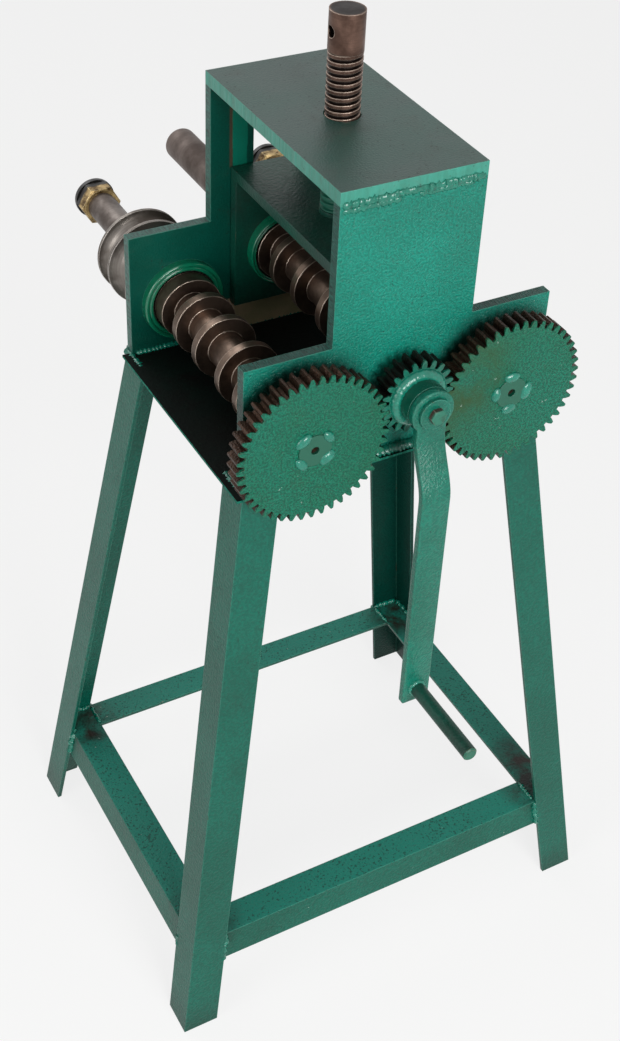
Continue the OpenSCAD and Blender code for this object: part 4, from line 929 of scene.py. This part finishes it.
def weldSpatter(look):
    chance = random.Random(look["seed"])
    inset = look["insetMm"] / 1000
    cornerX = topHigh.x - look["cornerMm"] / 1000
    mesh = bmesh.new()
    for drop in range(look["count"]):
        size = chance.uniform(look["smallMm"], look["largeMm"]) / 1000
        x = chance.uniform(frontLow.x + inset, frontHigh.x - inset)
        z = deckHigh.z + inset + abs(chance.gauss(0, look["spreadMm"] / 1000))
        # the plate is cut away above its shoulders
        if abs(x) > cornerX:
            z = min(z, deckHigh.z + look["cornerHighMm"] / 1000)
        z = min(z, topLow.z - look["belowTopMm"] / 1000)
        made = bmesh.ops.create_icosphere(mesh, subdivisions=1, radius=size)["verts"]
        bmesh.ops.scale(mesh, verts=made, vec=(1, look["flat"], 1))
        bmesh.ops.translate(mesh, verts=made, vec=(x, frontLow.y, z))
    return addPiece("weld_spatter", mesh, paint["frontPlateEnamel"], "frame")


weldSpatter(spatterSettings)
print("spatter dropped")


# Pressed shields that close the ball bearings between their rings
shieldSettings = {
    "innerMm": 20.2, "outerMm": 25.9, "thickMm": 0.6, "inMm": 0.9, "dishMm": 0.5, "waist": 0.3,
    "bearingMm": 16, "segments": 72,
}


def bearingShield(name, race, rings, body):
    look = shieldSettings
    low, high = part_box(race)
    z = (low.z + high.z) / 2
    wide = look["bearingMm"] / 1000
    inner, outer = look["innerMm"] / 1000, look["outerMm"] / 1000
    waist = inner + (outer - inner) * look["waist"]
    mesh = bmesh.new()
    for ring in rings:
        sideLow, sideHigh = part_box(ring)
        x = (sideLow.x + sideHigh.x) / 2
        for face, inward in ((low.y, 1), (low.y + wide, -1), (high.y - wide, 1), (high.y, -1)):
            y = face + inward * look["inMm"] / 1000
            back = y + inward * look["thickMm"] / 1000
            dish = inward * look["dishMm"] / 1000
            profile = [(inner, y + dish), (waist, y), (outer, y),
                       (outer, back), (waist, back), (inner, back + dish)]
            verts = [mesh.verts.new((x + r, at, z)) for r, at in profile]
            edges = [mesh.edges.new((verts[i], verts[(i + 1) % len(verts)])) for i in range(len(verts))]
            bmesh.ops.spin(mesh, geom=verts + edges, cent=(x, 0, z), axis=(0, 1, 0), angle=2 * math.pi,
                           steps=look["segments"], use_merge=True, dvec=(0, 0, 0))
    bmesh.ops.remove_doubles(mesh, verts=mesh.verts, dist=mergeDistance)
    return addPiece(name, mesh, steel["shieldSteel"], body)


bearingShield("bearing_shields", "outer_races", ["left_inner_races", "right_inner_races"], "frame")
bearingShield("carriage_bearing_shields", "carriage_outer_races", ["middle_inner_races"], "carriage")
print("shields pressed in")


# Stage: a pale floor, a bright room for reflections and three soft lamps with their place, size and power
stageSettings = {
    "floorSize": 40.0, "floorColour": "#dededc", "floorRoughness": 0.9, "floorGlow": 0.8, "roomLight": 0.22,
    "lampAim": (0, 0, 0.6),
    "lamps": [
        ("keyLamp", (-0.1, -2.7, 1.5), 1.6, 77.0),
        ("fillLamp", (-2.7, -0.6, 1.5), 1.8, 28.0),
        ("backLamp", (-0.6, 2.4, 2.6), 1.8, 18.0),
    ],
}


# One for the rays that show the room itself, straight, mirrored or through something clear
def shownRays(tree):
    ray = addNode(tree, "LightPath").node.outputs
    seen = addNode(tree, "Math", {0: ray["Is Camera Ray"], 1: ray["Is Glossy Ray"]}, operation="MAXIMUM")
    return addNode(tree, "Math", {0: seen, 1: ray["Is Transmission Ray"]}, operation="MAXIMUM")


def makeFloor(look):
    mesh = bmesh.new()
    bmesh.ops.create_grid(mesh, x_segments=2, y_segments=2, size=look["floorSize"])
    data = bpy.data.meshes.new("floor")
    mesh.to_mesh(data)
    mesh.free()
    floor = bpy.data.objects.new("floor", data)
    scene.collection.objects.link(floor)
    material = bpy.data.materials.new("paleFloor")
    material.use_nodes = True
    tree = material.node_tree
    shader = tree.nodes["Principled BSDF"]
    shader.inputs["Base Color"].default_value = linearColour(look["floorColour"])
    shader.inputs["Roughness"].default_value = look["floorRoughness"]
    share = addNode(tree, "Math", {0: shownRays(tree), 1: look["floorGlow"]}, operation="MULTIPLY")
    glow = addNode(tree, "Emission", {"Color": (1, 1, 1, 1), "Strength": 1.0})
    mixed = addNode(tree, "MixShader", {0: share, 1: shader.outputs[0], 2: glow})
    tree.links.new(mixed, tree.nodes["Material Output"].inputs["Surface"])
    data.materials.append(material)


def makeRoom(look):
    world = bpy.data.worlds.new("studioRoom")
    scene.world = world
    world.use_nodes = True
    tree = world.node_tree
    background = tree.nodes["Background"]
    background.inputs["Color"].default_value = (1, 1, 1, 1)
    level = addNode(tree, "MapRange", {0: shownRays(tree), 3: look["roomLight"], 4: 1.0})
    tree.links.new(level, background.inputs["Strength"])


def hangLamps(look):
    for name, place, size, power in look["lamps"]:
        lamp = bpy.data.lights.new(name, "AREA")
        lamp.shape = "DISK"
        lamp.size = size
        lamp.energy = power
        holder = bpy.data.objects.new(name, lamp)
        scene.collection.objects.link(holder)
        holder.location = place
        aim = Vector(look["lampAim"]) - Vector(place)
        holder.rotation_euler = aim.to_track_quat("-Z", "Y").to_euler()


makeFloor(stageSettings)
makeRoom(stageSettings)
hangLamps(stageSettings)
scene.view_settings.view_transform = "Standard"
print("stage lit")
